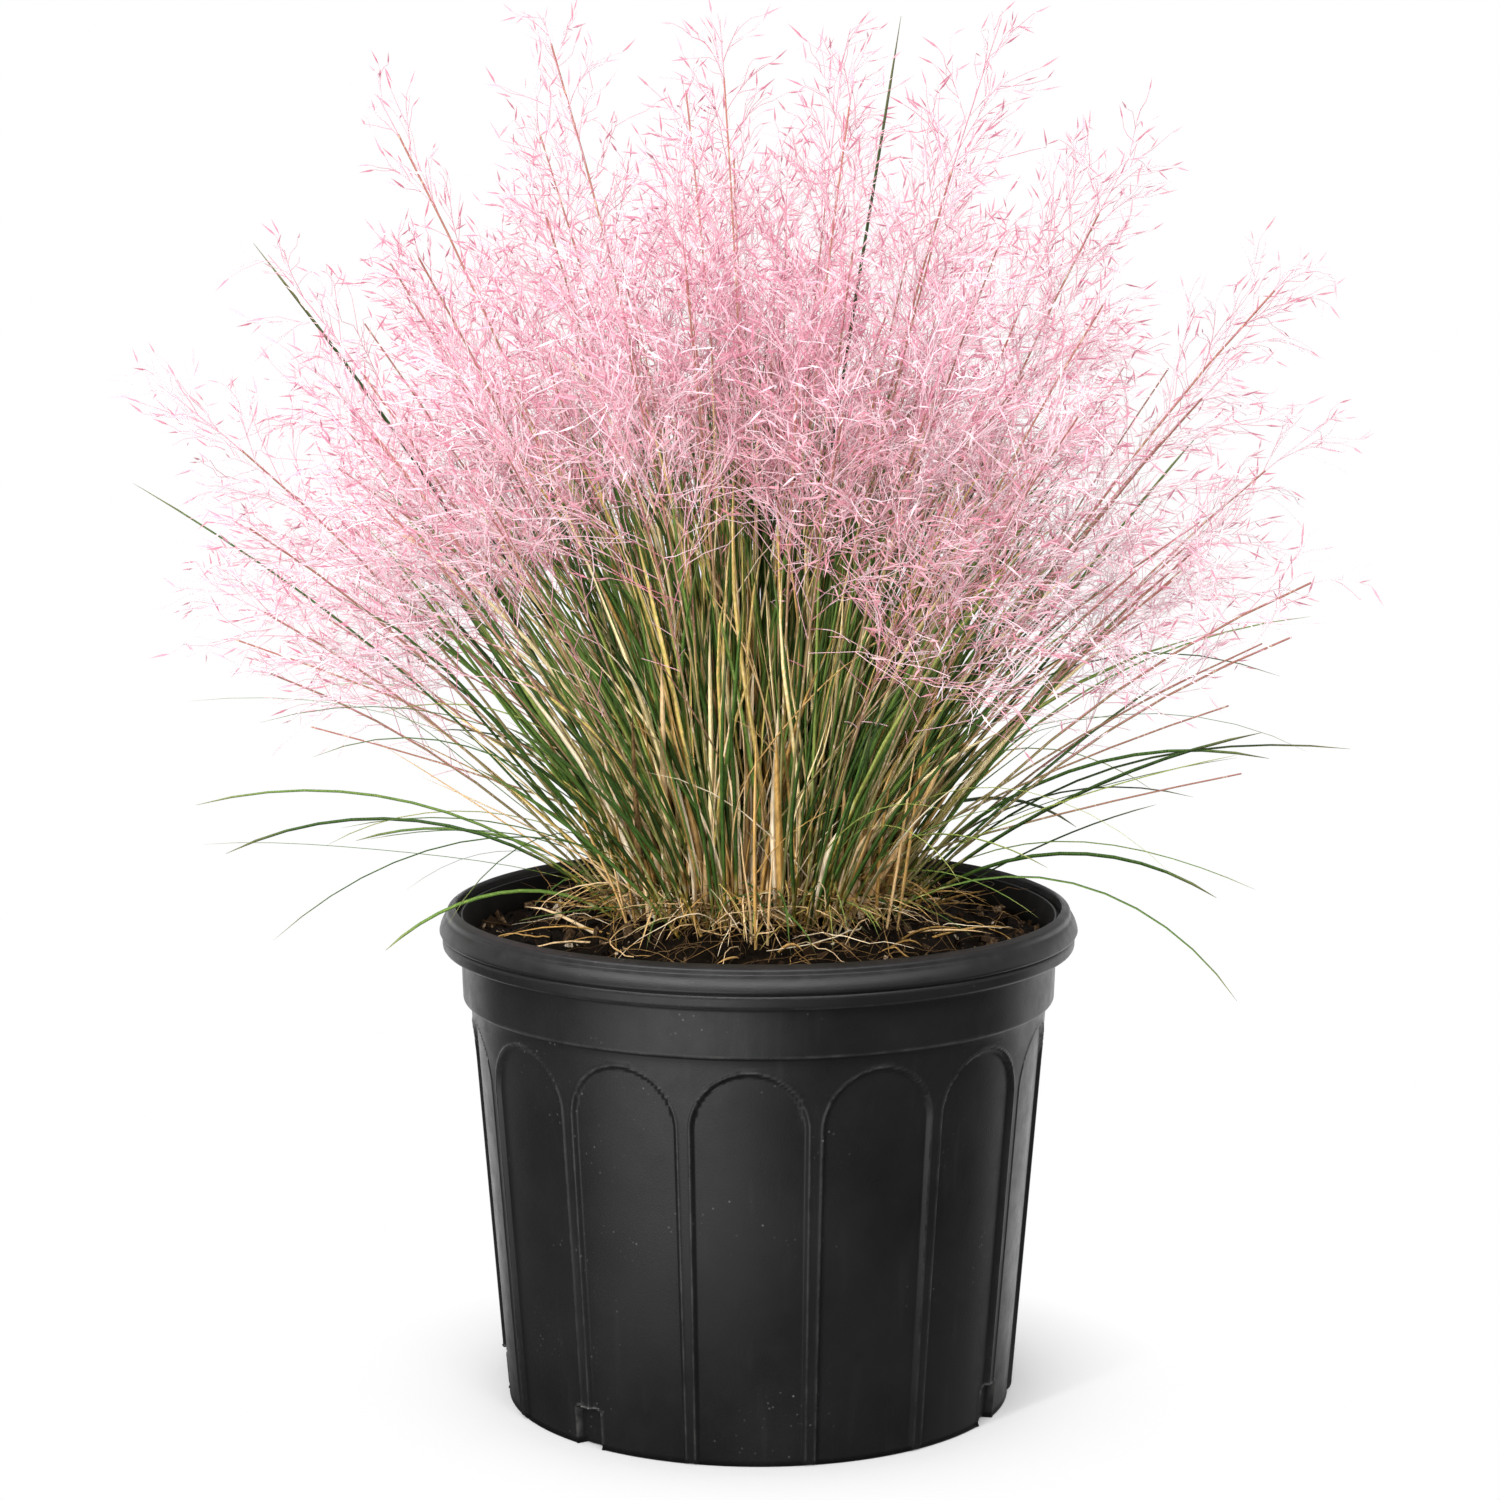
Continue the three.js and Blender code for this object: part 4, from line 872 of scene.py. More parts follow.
def arc_points(base, tip, bend, shares):
    """Points of upright arcs from bases to tips, whose lean grows by `bend` on the way."""
    base, tip, bend = np.atleast_2d(base), np.atleast_2d(tip), np.atleast_1d(bend)
    run = tip - base
    flat = np.maximum(np.hypot(run[:, 0], run[:, 1]), 1e-6)
    half = np.maximum(bend / 2, 0.002)
    lean = np.arctan2(flat, run[:, 2])
    scale = np.linalg.norm(run, axis=1) / (2 * np.sin(half))
    angle = lean[:, None] + half[:, None] * (2 * shares - 1)
    across = scale[:, None] * (np.cos(lean - half)[:, None] - np.cos(angle))
    rise = scale[:, None] * (np.sin(angle) - np.sin(lean - half)[:, None])
    out = run[:, :2] / flat[:, None]
    return base[:, None, :] + np.concatenate([out[:, None, :] * across[..., None], rise[..., None]], axis=2)


def square_to(direction):
    """Two unit vectors square to each direction and to each other."""
    helper = np.where(np.abs(direction[..., 2:]) < 0.9, np.array([0, 0, 1.0]), np.array([1.0, 0, 0]))
    first = np.cross(direction, helper)
    first /= np.linalg.norm(first, axis=-1, keepdims=True)
    return first, np.cross(direction, first)


def unit(vectors):
    return vectors / np.maximum(np.linalg.norm(vectors, axis=-1, keepdims=True), 1e-9)


def plan(angle):
    """The direction of an angle as seen from above."""
    return np.array([np.cos(angle), np.sin(angle)])


def leaning(lean, angle):
    """A unit vector that leans from the upright towards an angle of the plan."""
    return np.array([np.sin(lean) * np.cos(angle), np.sin(lean) * np.sin(angle), np.cos(lean)])


TUFT_RING, TUFT_RADIUS, STRAW_RING = 42.0, 17.0, 66.0
tuft_places = {"tuft_centre": np.zeros(2)}
straw_places = {}
for k in range(6):
    tuft_places[f"tuft_{k + 1}"] = TUFT_RING * plan(np.radians(60 * k))
    straw_places[f"straw_{k + 1}"] = STRAW_RING * plan(np.radians(60 * k + 30))
print("tufts:", len(tuft_places), "straw roots:", len(straw_places))

# %% Read the blades back from the CAD tufts
RING_SHARES = {3: (1, 0.68, 0.34), 4: (1, 0.75, 0.5, 0.25)}     # where a blade's point and rings are, by their number


def corners_of(node):
    """The places of a CAD node's corners in millimetres, and which corners share a face."""
    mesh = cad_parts[node].data
    points = np.empty(len(mesh.vertices) * 3)
    mesh.vertices.foreach_get("co", points)
    points = points.reshape(-1, 3) / MM
    places, which = np.unique(np.round(points, 3), axis=0, return_inverse=True)
    near = [set() for _ in places]
    for polygon in mesh.polygons:
        ids = [int(which.ravel()[i]) for i in polygon.vertices]
        for one in ids:
            near[one].update(i for i in ids if i != one)
    return places, near


def traced(node):
    """The lines of a tuft's blades, each from its point down through the middles of its rings."""
    places, near = corners_of(node)
    found = []
    for apex in range(len(places)):
        if len(near[apex]) != 3:
            continue
        line, passed, ring = [places[apex]], {apex}, near[apex]
        while len(ring) == 3 and len(line) < 4 and all(places[i][2] > CROWN_CENTRE + 7 for i in ring):
            line.append(places[list(ring)].mean(0))
            passed |= ring
            ring = set().union(*(near[i] for i in ring)) - passed
        if len(line) >= 3 and np.linalg.norm(line[0] - line[1]) > 12:
            found.append(np.array(line))
    return found


def whole_arc(line):
    """Base, tip and bend of the arc that a traced line is the upper part of."""
    shares = RING_SHARES[len(line)]
    low = shares[-1]
    first, last = unit(line[0] - line[1]), unit(line[-2] - line[-1])
    apart = (shares[0] + shares[1]) / 2 - (shares[-2] + shares[-1]) / 2
    bend = np.arccos(np.clip(first @ last, -1, 1)) / apart
    half = max(bend / 2, 0.002)
    seen = line[0] - line[-1]
    reach = np.linalg.norm(seen) / np.sin(half * (1 - low)) * np.sin(half)
    flat = np.hypot(seen[0], seen[1])
    lean = np.arctan2(flat, seen[2]) - half * low
    out = seen[:2] / max(flat, 1e-6)
    base = line[0] - reach * np.array([*(out * np.sin(lean)), np.cos(lean)])
    return base, line[0], bend


cad_blades = {name: [whole_arc(line) for line in traced(name)] for name in (*tuft_places, *straw_places)}
print("blades read back:", {name: len(found) for name, found in cad_blades.items()})

# %% Work out the culms from the tips of the CAD panicles
CULM_BEND, CULM_BEND_SHARE = np.radians(6), 0.42
panicle_names = sorted(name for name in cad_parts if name.startswith("panicle_"))


def culm_arc(tip):
    """The tuft, base and bend of the culm that ends at a tip."""
    lean = np.arctan2(np.hypot(tip[0], tip[1]), tip[2] - CROWN_CENTRE)
    spot = (6 + 52 * min(1, lean / np.radians(50))) * unit(tip[:2])
    root = min(tuft_places, key=lambda name: np.linalg.norm(spot - tuft_places[name]))
    offset = spot - tuft_places[root]
    offset *= min(1, (TUFT_RADIUS - 4) / max(np.linalg.norm(offset), 1e-6))
    base = np.array([*(tuft_places[root] + offset), CROWN_CENTRE + SPROUT])
    return root, base, CULM_BEND + CULM_BEND_SHARE * lean


def tip_of(node):
    """The corner of a panicle that is furthest from the crown."""
    places = corners_of(node)[0]
    return places[np.argmax(np.linalg.norm(places - [0, 0, CROWN_CENTRE], axis=1))]


culms = []                                  # (tuft, base, tip, bend, CAD node or None)


def add_culm(tip, node=None):
    root, base, bend = culm_arc(tip)
    culms.append((root, base, tip, bend, node))


for name in panicle_names:
    add_culm(tip_of(name), name)
print("culms with a CAD panicle:", len(culms))

# %% Add the culms between them
EXTRA_CULMS, CULM_REACH, TRIES = 42, 445.0, 14
SIDE_LEAN, FRONT_LEAN, BACK_LEAN = 61.0, 36.0, 52.0


def lean_limit(angle):
    """How far a culm may lean in a direction: most to the sides, least to the front."""
    facing = np.sin(angle)
    limit = np.where(facing < 0, FRONT_LEAN, BACK_LEAN)
    return np.radians(SIDE_LEAN + (limit - SIDE_LEAN) * np.abs(facing) ** 1.3)


def drawn_tip(draws):
    """A tip somewhere in the dome of flowers."""
    angle, share = draws.uniform(0, 2 * np.pi), np.sqrt(draws.uniform(0.0, 0.85))
    lean = lean_limit(angle) * share
    reach = CULM_REACH * np.cos(lean * 0.86) * draws.uniform(0.76, 0.95)
    across = reach * np.sin(lean) + 30 * share
    return np.array([across * np.cos(angle), across * np.sin(angle), CROWN_CENTRE + reach * np.cos(lean)])


LOW_TIPS = [(76, -176, 436), (116, -150, 424)]      # two low heads at the front right
draws = np.random.default_rng(31)
for tip in np.array(LOW_TIPS, float):
    add_culm(tip)
tips = np.array([culm[2] for culm in culms])
for _ in range(EXTRA_CULMS):                # of several tips, the one in the widest gap is kept
    offered = [drawn_tip(draws) for _ in range(TRIES)]
    tip = max(offered, key=lambda place: np.linalg.norm(tips - place, axis=1).min())
    tips = np.vstack([tips, tip])
    add_culm(tip)
print("culms in all:", len(culms))

# %% [markdown]
# ## Flower heads
# A muhly panicle is a slender axis with dozens of hair-thin branches. Each branch bears stalks of
# a few centimetres that waver like loose thread, and each stalk ends in a spikelet a few
# millimetres long, with another one or two below it. The whole head is too fine and too regular
# to place by hand, so it is grown: every branch starts from a rule of where, how long and how
# steep, and a seeded draw makes it differ. Each stage is an array, so all the stalks of a head
# are worked out at once.

# %% Grow one flower head
BRANCHES, AXIS_STEPS, BRANCH_STEPS, STALK_STEPS = 31, 14, 6, 4
LOWEST_BRANCH, HIGHEST_BRANCH = 78.0, 13.0  # lengths
TRIMS, TRIM = 12, 0.88                      # how often a branch that leaves the cloud is cut shorter, and to what share
STALK_SPACING = 3.9
AXIS_THICK, AXIS_THIN, BRANCH_THICK, THREAD_THICK, HAZE_THICK = 0.56, 0.2, 0.21, 0.16, 0.25
HAZE_SHARE = 0.5                            # of the stalks are paler and wider, and blur the rest
UP = np.array([0.0, 0.0, 1.0])
ROOM = np.array([8.0, 8.0, 3.0])            # how far a spikelet may stand out of the CAD box
LOWEST, HIGHEST = np.array(cad_box) / MM + [-ROOM, ROOM]
SKIRT_SHARE = 0.52                          # flowers start above this share of the culm's height
SKIRT_PLACES = [-235, -197, -161, -140, -111, -75, -39, -3, 33, 61, 90, 118, 162, 205, 248]
SKIRT_HEIGHTS = [350, 330, 340, 374, 398, 418, 436, 428, 392, 360, 334, 330, 335, 350, 372]


def in_room(points, skirt, ragged=0.0):
    """Whether points are in the box, above the skirt and above the ragged lower edge of the cloud."""
    edge = np.interp(points[..., 0], SKIRT_PLACES, SKIRT_HEIGHTS) - 0.1 * points[..., 1]
    in_box = ((points > LOWEST) & (points < HIGHEST)).all(axis=-1)
    return in_box & (points[..., 2] > np.maximum(edge, skirt) + ragged)


def wavering(points, along, size, waves, draws):
    """Adds a slow sideways wander to lines, none at their roots. along runs from 0 to 1."""
    first, second = square_to(unit(points[:, -1] - points[:, 0])[:, None, :])
    lines = len(points)
    for side in (first, second):
        phase = draws.uniform(0, 2 * np.pi, (lines, 1))
        swing = np.sin(2 * np.pi * waves[:, None] * along + phase) - np.sin(phase)
        points = points + side * (swing * size[:, None] * along ** 0.5)[..., None]
    return points


def grow_head(bundle, base, tip, bend, draws, fullness=1.0):
    """Adds the axis, branches, stalks and spikelets of one head to a bundle."""
    shares = np.linspace(0.5, 1, AXIS_STEPS)[None, :]
    axis = arc_points(base, tip, bend, shares)
    mood = draws.uniform(0.0, 1.0)          # some heads are paler than others
    skirt = base[2] + SKIRT_SHARE * (tip[2] - base[2])
    bundle.strands(axis, np.linspace(AXIS_THICK, AXIS_THIN, AXIS_STEPS), mood * 0.5)

    count = int(BRANCHES * fullness)
    up_axis = ((np.arange(count) + draws.uniform(0.1, 0.9, count)) / count) ** 0.94
    place = 0.5 + 0.5 * up_axis
    roots = arc_points(base, tip, bend, place[None, :])[0]
    ahead = arc_points(base, tip, bend, place[None, :] + 0.01)[0]
    along = unit(ahead - roots)
    first, second = square_to(along)
    turn = np.arange(count) * GOLDEN + draws.normal(0, 0.35, count)
    outward = first * np.cos(turn)[:, None] + second * np.sin(turn)[:, None]
    spread = np.radians(46 - 20 * up_axis) * draws.uniform(0.65, 1.25, count)
    length = (HIGHEST_BRANCH + (LOWEST_BRANCH - HIGHEST_BRANCH) * (1 - up_axis) ** 0.85)
    length = length * draws.uniform(0.6, 1.12, count)
    lead = along * np.cos(spread)[:, None] + outward * np.sin(spread)[:, None]
    steps = np.linspace(0, 1, BRANCH_STEPS)[None, :]
    arching = outward * draws.uniform(-0.05, 0.22, count)[:, None] - UP * draws.uniform(0.0, 0.12, count)[:, None]

    def branch_points(which, steps):
        return (roots[which, None, :] + lead[which, None, :] * (length[which, None] * steps)[..., None]
                + arching[which, None, :] * (length[which, None] * steps ** 2)[..., None])

    every = np.arange(count)
    for _ in range(TRIMS):
        out = ~in_room(branch_points(every, np.array([[1.0]]))[:, 0], skirt)
        length = np.where(out, length * TRIM, length)
    branches = wavering(branch_points(every, steps), steps, length * 0.022, length / 42, draws)
    bundle.strands(branches, np.linspace(BRANCH_THICK, BRANCH_THICK * 0.7, BRANCH_STEPS),
                   draws.uniform(0.1, 0.8, count))

    stalks = np.maximum(2, (length / STALK_SPACING).astype(int) + 1)
    which = np.repeat(every, stalks)
    nth = np.concatenate([np.arange(n) for n in stalks])
    step = np.clip(0.24 + 0.78 * (nth + draws.uniform(0, 1, len(which))) / stalks[which], 0, 1)
    total = len(which)
    cell = np.minimum((step * (BRANCH_STEPS - 1)).astype(int), BRANCH_STEPS - 2)
    part = (step * (BRANCH_STEPS - 1) - cell)[:, None]
    start = branches[which, cell] * (1 - part) + branches[which, cell + 1] * part
    run = unit(branches[which, cell + 1] - branches[which, cell])
    side, over = square_to(run)
    around = draws.uniform(0, 2 * np.pi, total)
    away = side * np.cos(around)[:, None] + over * np.sin(around)[:, None]
    open_by = np.radians(draws.uniform(14, 62, total)) * (1 - 0.5 * step)
    heading = run * np.cos(open_by)[:, None] + away * np.sin(open_by)[:, None]
    reach = draws.uniform(12, 33, total) * (1.1 - 0.55 * up_axis[which])
    steps = np.linspace(0, 1, STALK_STEPS)[None, :]
    lines = start[:, None, :] + heading[:, None, :] * (reach[:, None] * steps)[..., None]
    lines = lines - UP * (reach[:, None] * steps ** 2 * draws.uniform(-0.05, 0.22, (total, 1)))[..., None]
    lines = wavering(lines, steps, reach * draws.uniform(0.02, 0.085, total), draws.uniform(0.5, 1.3, total), draws)
    kept = in_room(lines[:, -1], skirt, draws.normal(0, 17, total))
    lines, upper = lines[kept], up_axis[which][kept]
    total = len(lines)
    haze = draws.uniform(0, 1, total) < HAZE_SHARE * (1.2 - 0.7 * upper)
    shade = np.clip(np.where(haze, draws.uniform(0.72, 1.0, total), draws.normal(0.3 + 0.25 * mood, 0.2, total)), 0, 1)
    thick = np.where(haze, HAZE_THICK, THREAD_THICK) * draws.uniform(0.85, 1.2, total)
    bundle.strands(lines, thick[:, None] * np.linspace(1.0, 0.7, STALK_STEPS), shade)

    for point, chance, low, high, tilt in ((3, 0.85, 6.0, 11.0, 0.4), (2, 0.3, 5.0, 9.0, 0.8)):
        kept = draws.uniform(0, 1, total) < chance * (0.55 + 0.6 * upper)
        ends = lines[kept, point]
        facing = unit(lines[kept, point] - lines[kept, point - 1]) + draws.normal(0, tilt, (kept.sum(), 3))
        bundle.spikelets(ends, unit(facing), draws.uniform(low, high, kept.sum()),
                         np.clip(shade[kept] + draws.normal(-0.05, 0.25, kept.sum()), 0, 1))
    return total


print("a head has", BRANCHES, "branches")

# %% Grow all heads, tuft by tuft
SPARSE = {"panicle_04": 0.5, "panicle_10": 0.5, "panicle_05": 0.7}      # how full these young heads are


def fullness_of(tip, node):
    """How full a head is: less at the top, and less where the cloud thins out low at its two sides."""
    low, high = 1 - step(470, 560, tip[2]), 0.16 * step(570, 620, tip[2])
    sides = max(0.66 * step(105, 180, tip[0]), 0.24 * step(150, 210, -tip[0]))
    return SPARSE.get(node, 1.0 if node else 0.84) * (1 - high - low * sides)


draws = np.random.default_rng(57)
head_bundles = {name: Bundle() for name in tuft_places}
stalk_count = 0
for root, base, tip, bend, node in culms:
    stalk_count += grow_head(head_bundles[root], base, tip, bend, draws, fullness_of(tip, node))
print("stalks in all:", stalk_count)

for number, (root, bundle) in enumerate(head_bundles.items()):
    heads = skinned(f"flower_heads_{number + 1}", bundle, 3, 1.0, hair_pink)
    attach(heads, "root")
    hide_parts(*[node for owner, *_, node in culms if owner == root and node])

# %% [markdown]
# ## Green blades and culms
# Muhly leaves are narrow and rolled, stiff near the ground and arching at the end. About fourteen
# hundred of them rise from the tufts. A blade is a strand with a flattened ring of three corners,
# so it shows a bright and a dark face as it turns. The blades of the CAD tufts come first, at
# their own places, and the rest fill in between by one rule of lean and length. A few long ones
# bow over the rim at the sides, and short ones have fallen on the soil. Each tuft also has some
# older stems that have lost their flowers.

# %% Make the blades of one tuft
BLADE_STEPS, LONG_STEPS, CULM_STEPS = 8, 15, 9
MORE_BLADES, BARE_STEMS = 180, 9
BLADE_TAPER = [0, 0.35, 0.7, 0.93, 1], [0.75, 1.0, 0.78, 0.42, 0.06]      # places along it, widths there
LONG_TAPER = [0, 0.35, 0.7, 0.95, 1], [0.8, 1.0, 0.95, 0.7, 0.1]
RIM_MIDDLE, RIM_HALF, CLEARANCE = 146.0, 14.0, 6.0      # the ring that bowed blades must pass over
FRONT_PINCH = 0.68                          # the clump's foot is narrower in front than at the sides


def rooted(spot, sunk=3.0):
    """A root in the soil near a place of the plan."""
    x, y = spot[0], spot[1] * (FRONT_PINCH if spot[1] < 0 else 1.0)
    return np.array([x, y, soil_height(x, y) - sunk])


def add_blades(bundle, arcs, half_width, tint, draws, sway=2.2, taper=BLADE_TAPER, steps=BLADE_STEPS):
    """Blades along (base, tip, bend) arcs, with a slight wander and a random roll."""
    base, tip, bend = (np.array([arc[i] for arc in arcs]) for i in range(3))
    shares = np.linspace(0, 1, steps)[None, :]
    lines = arc_points(base, tip, bend, shares)
    count = len(lines)
    lines = wavering(lines, shares, draws.uniform(0.2, 1.0, count) * sway, draws.uniform(0.4, 1.1, count), draws)
    bundle.strands(lines, half_width[:, None] * np.interp(shares, *taper), tint, draws.uniform(0, np.pi, count))


def filling_arcs(place, radius, number, draws):
    """Arcs of more blades of a tuft, leaning further the further out they stand."""
    arcs = []
    for k in range(number):
        spot = place + radius * np.sqrt((k + 0.5) / number) * plan(k * GOLDEN)
        outward = np.hypot(*spot)
        angle = np.arctan2(spot[1], spot[0]) + draws.uniform(-0.5, 0.5) * (3 if outward < 16 else 1.5)
        share = min(1, outward / 58)
        lean = 0.88 * lean_limit(angle) * (share * draws.uniform(0.1, 1.0) ** 0.85 + 0.14 * draws.uniform(-1, 1))
        reach = (95 + 205 * draws.uniform(0, 1) ** 0.8) * (1 - 0.16 * share)
        base = rooted(0.94 * spot)
        arcs.append((base, base + reach * leaning(lean, angle), np.radians(draws.uniform(4, 42)) * (0.35 + share)))
    return arcs


def fallen_arcs(turn, number, draws):
    """Arcs of short blades that lie down over the soil, round one direction in degrees."""
    arcs = []
    for _ in range(number):
        angle = np.radians(turn + draws.uniform(-48, 48))
        base = rooted(draws.uniform(34, 60) * plan(angle), draws.uniform(-14, 3))
        side = angle + draws.normal(0, 0.75)
        far = base[:2] + draws.uniform(26, 66) * plan(side)
        far *= min(1, 128 / np.hypot(*far))
        tip = [*far, soil_height(*far) + draws.uniform(3, 16)]
        arcs.append((base, tip, np.radians(draws.uniform(24, 110))))
    return arcs


def bowed_arcs(turn, number, draws):
    """Arcs of long outer blades that bow over the rim, round one direction in degrees."""
    arcs = []
    for _ in range(number):
        angle = np.radians(turn + draws.uniform(-38, 38))
        base = rooted(draws.uniform(30, 54) * plan(angle))
        angle += draws.normal(0, 0.2)
        reach = draws.uniform(90, 232)
        tip = base + [reach * np.cos(angle), reach * np.sin(angle), draws.uniform(-10, 112)]
        tip[:2] = np.clip(tip[:2], *(np.array(cad_box)[:, :2] / MM))
        bend = np.radians(draws.uniform(12, 104))
        while True:                         # lifted until it passes over the rim
            line = arc_points(base, tip, bend, np.linspace(0, 1, 40)[None, :])[0]
            from_rim = np.abs(np.hypot(line[:, 0], line[:, 1]) - RIM_MIDDLE)
            if not ((from_rim < RIM_HALF) & (line[:, 2] < POT_HEIGHT + CLEARANCE)).any():
                break
            tip[2] += 5
        arcs.append((base, tip, bend))
    return arcs


FALLEN = (14, 9, 9, 16, 24, 22)             # how many blades of each outer tuft lie on the soil
# the tufts with blades that bow outwards, the direction of these in degrees, and their number
OUTER_BLADES = {"tuft_1": (-6, 10), "tuft_4": (186, 12), "tuft_5": (218, 3), "tuft_6": (-40, 4)}
draws = np.random.default_rng(83)
for number, (name, place) in enumerate(tuft_places.items()):
    bundle = Bundle()
    given_arcs = cad_blades[name]
    slim = np.where(np.array([np.linalg.norm(tip - base) for base, tip, _ in given_arcs]) > 200, 1.15, 1.2)
    dark = np.clip(draws.normal(0.2, 0.16, len(slim)), 0, 1)
    add_blades(bundle, given_arcs, slim, dark, draws, 2.2, LONG_TAPER, LONG_STEPS)
    if name in OUTER_BLADES:
        outer = bowed_arcs(*OUTER_BLADES[name], draws)
        add_blades(bundle, outer, draws.uniform(0.3, 0.54, len(outer)), draws.uniform(0.1, 0.7, len(outer)), draws,
                   4.0, LONG_TAPER, LONG_STEPS)
    if number:
        fallen = fallen_arcs(60 * (number - 1), FALLEN[number - 1], draws)
        add_blades(bundle, fallen, draws.uniform(0.35, 0.8, len(fallen)), draws.uniform(0.1, 0.95, len(fallen)),
                   draws, 2.0)
    arcs = filling_arcs(place, TUFT_RADIUS, MORE_BLADES, draws)
    outward = np.array([np.hypot(*arc[0][:2]) for arc in arcs]) / 55      # the pale ones stand inside
    short = np.array([np.clip((280 - np.linalg.norm(tip - base)) / 100, 0.3, 1.1) for base, tip, _ in arcs])
    is_pale = draws.uniform(0, 1, len(arcs)) < (0.72 - 0.42 * outward) * short
    shade = np.where(is_pale, draws.uniform(0.74, 1.1, len(arcs)), draws.normal(0.34, 0.2, len(arcs)))
    add_blades(bundle, arcs, draws.uniform(0.75, 1.9, len(arcs)), np.clip(shade, 0, 1), draws, 5.5)
    tuft = skinned(f"green_blades_{number + 1}", bundle, 3, 0.42, blade_green)

    stems = Bundle()
    own = [culm for culm in culms if culm[0] == name]
    for _ in range(BARE_STEMS):             # older stems, whose flowers have gone
        tip = drawn_tip(draws) * [0.96, 0.96, 1.0]
        tip = [*tip[:2], CROWN_CENTRE + (tip[2] - CROWN_CENTRE) * draws.uniform(0.55, 0.92)]
        spot = place + TUFT_RADIUS * 0.8 * draws.uniform(-0.7, 0.7, 2)
        own.append((name, rooted(spot), tip, CULM_BEND * draws.uniform(0.5, 3), None))
    base, tip, bend = (np.array([culm[i] for culm in own]) for i in (1, 2, 3))
    has_head = np.arange(len(own)) < len(own) - BARE_STEMS
    end = np.where(has_head, draws.uniform(0.8, 1.0, len(own)), 1.0)
    shares = end[:, None] * np.linspace(0, 1, CULM_STEPS)
    thick = np.where(has_head, 0.72, 0.58)[:, None] * np.linspace(1.1, 0.62, CULM_STEPS)
    stems.strands(arc_points(base, tip, bend, shares), thick, draws.uniform(0, 1, len(own)), end=0.7)
    stalks = skinned(f"culms_{number + 1}", stems, 4, 1.0, stem_brown)
    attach(tuft, "root")
    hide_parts(name)
    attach(stalks, "root")

# %% [markdown]
# ## Dry sheaths and thatch
# Round the foot stand last year's sheaths, broad, ribbed and the colour of straw. Thin dead leaves
# cross the green ones, and a mat of them lies on the soil out to the rim. The standing ones are
# strands like the blades, only broader and shorter. The lying ones follow the soil in loose curls,
# some with an end in the air, so their height comes from the soil's own formula.

# %% Stand the sheaths
draws = np.random.default_rng(97)
MORE_SHEATHS = 66
for number, (name, place) in enumerate(straw_places.items()):
    bundle = Bundle()
    arcs = cad_blades[name]
    add_blades(bundle, arcs, np.full(len(arcs), 1.2), draws.uniform(0.3, 0.9, len(arcs)), draws, 1.5)
    more = []
    for k in range(MORE_SHEATHS):
        angle = np.arctan2(place[1], place[0]) + draws.uniform(-0.55, 0.55)
        spot = 68 * np.sqrt(draws.uniform(0.12, 1)) * plan(angle)
        lean = np.radians(draws.uniform(-6, 34)) * np.hypot(*spot) / 60
        base = rooted(0.92 * spot)
        turn = angle + draws.normal(0, 0.5)
        tip = base + (40 + 130 * draws.uniform(0, 1) ** 1.4) * leaning(lean, turn)
        more.append((base, tip, np.radians(draws.uniform(0, 30))))
    add_blades(bundle, more, draws.uniform(0.8, 2.7, len(more)), draws.uniform(0.06, 1.0, len(more)), draws, 2.4)
    sheaths = skinned(f"dry_sheaths_{number + 1}", bundle, 3, 0.35, dry_straw)
    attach(sheaths, "root")
    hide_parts(name)

# %% Weave dead leaves through the clump
draws = np.random.default_rng(104)
DEAD_LEAVES = 330
bundle = Bundle()
dead = []
for k in range(DEAD_LEAVES):
    angle, outward = draws.uniform(0, 2 * np.pi), 60 * np.sqrt(draws.uniform(0, 1))
    spot = outward * plan(angle)
    swing = angle + draws.normal(0, 0.9)
    lean = np.radians(draws.uniform(4, 50)) * (0.3 + outward / 60)
    reach = draws.uniform(50, 190)
    base = rooted(spot) + [0, 0, max(0, draws.uniform(-110, 110))]      # half of them hang from higher up
    dead.append((base, base + reach * leaning(lean, swing), np.radians(draws.uniform(10, 70))))
add_blades(bundle, dead, draws.uniform(0.35, 1.0, DEAD_LEAVES), draws.uniform(0.3, 1.15, DEAD_LEAVES), draws, 4.0)
fallen = []
for turn, number in ((-90, 60), (0, 26), (180, 26), (90, 30)):
    fallen += fallen_arcs(turn, number, draws)
add_blades(bundle, fallen, draws.uniform(0.3, 0.8, len(fallen)), draws.uniform(0.05, 0.9, len(fallen)), draws, 3.0)
dead_leaves = skinned("dead_leaves", bundle, 3, 0.5, dry_straw)
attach(dead_leaves, "root")

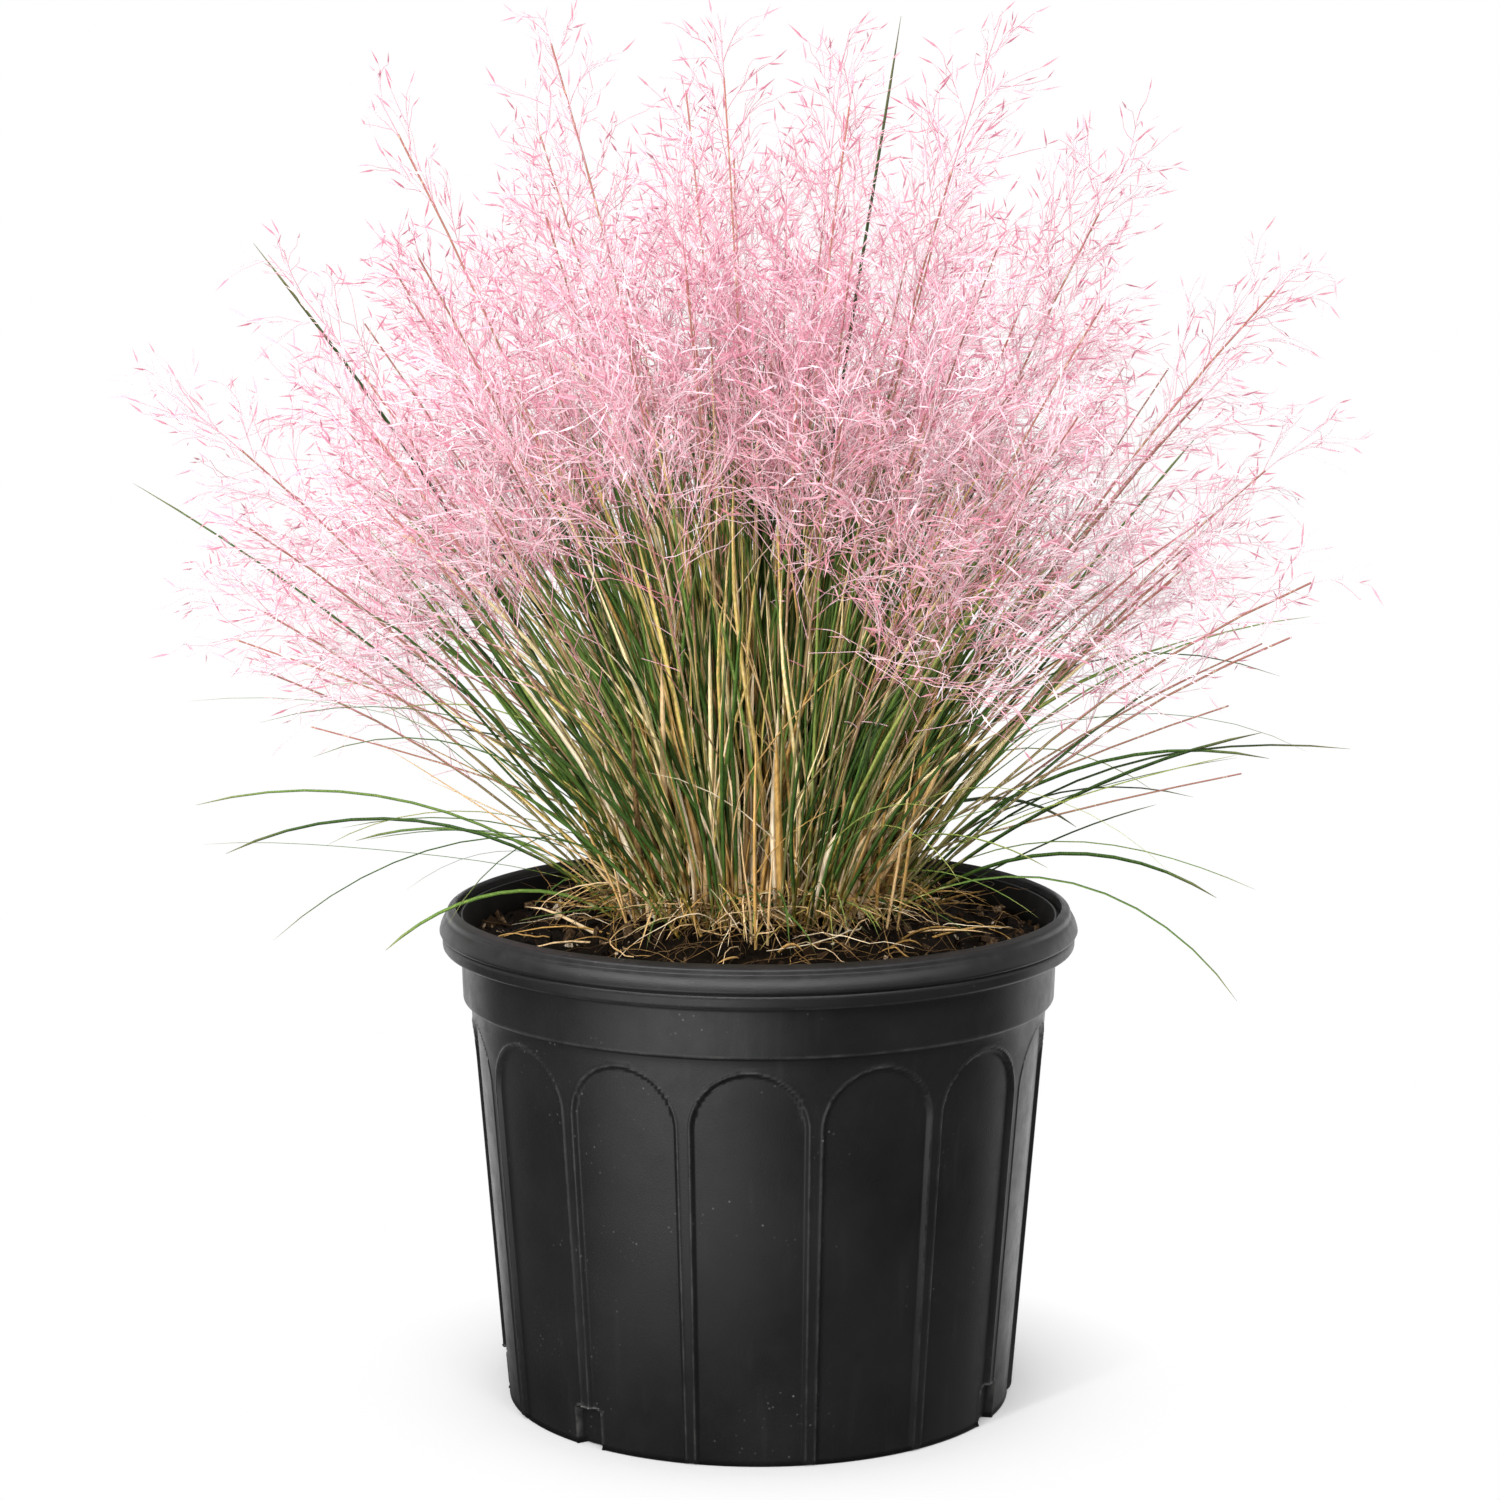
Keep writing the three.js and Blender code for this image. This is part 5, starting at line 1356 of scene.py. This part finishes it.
# %% Lay the thatch
draws = np.random.default_rng(109)
THATCH, THATCH_STEPS, THATCH_EDGE = 320, 11, 132.0
angle = np.radians(-90) + draws.choice([-1, 1], THATCH) * np.pi * draws.uniform(0, 1, THATCH) ** 1.4
outward = np.where(draws.uniform(0, 1, THATCH) < 0.36, draws.uniform(30, 62, THATCH), draws.uniform(50, 118, THATCH))
heading = angle + draws.normal(0, 1.9, THATCH)
curl = draws.normal(0, 1, THATCH) * np.where(draws.uniform(0, 1, THATCH) < 0.4, 1.7, 0.6)
reach = draws.uniform(14, 74, THATCH)
share = np.linspace(0, 1, THATCH_STEPS)
facing = heading[:, None] + curl[:, None] * share + np.cumsum(draws.normal(0, 0.2, (THATCH, THATCH_STEPS)), axis=1)
steps = reach[:, None] / (THATCH_STEPS - 1)
x = (outward * np.cos(angle))[:, None] + np.cumsum(np.cos(facing) * steps, axis=1)
y = (outward * np.sin(angle))[:, None] + np.cumsum(np.sin(facing) * steps, axis=1)
shrink = np.minimum(1, THATCH_EDGE / np.maximum(np.hypot(x, y), 1e-6))
x, y = x * shrink, y * shrink
swell, lift, rise = (draws.uniform(low, high, (THATCH, 1)) for low, high in ((0.5, 8), (0.6, 5), (0, 1)))
hump = swell * np.where(outward < 62, 2.0, 1.0)[:, None] * np.sin(np.pi * share) ** 0.8 + lift
hump = hump + 26 * rise ** 2.2 * share ** 1.3        # some ends stand up
lines = np.stack([x, y, soil_height(x, y) + crumble(x, y) * 0.6 + hump], axis=2)
bundle = Bundle()
fine = draws.uniform(0, 1, THATCH) < 0.55 + 0.3 * (outward > 70)     # most of them are thin and brown
thick = np.where(fine, 0.26, draws.uniform(0.35, 0.7, THATCH))[:, None] * np.interp(share, [0, 0.3, 1], [0.7, 1, 0.3])
shade = np.where(fine, draws.uniform(-0.2, 0.3, THATCH), draws.uniform(0.3, 1.0, THATCH))
bundle.strands(lines, thick, shade, draws.uniform(0, np.pi, THATCH))
thatch = skinned("thatch", bundle, 3, 0.6, dry_straw)
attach(thatch, "root")
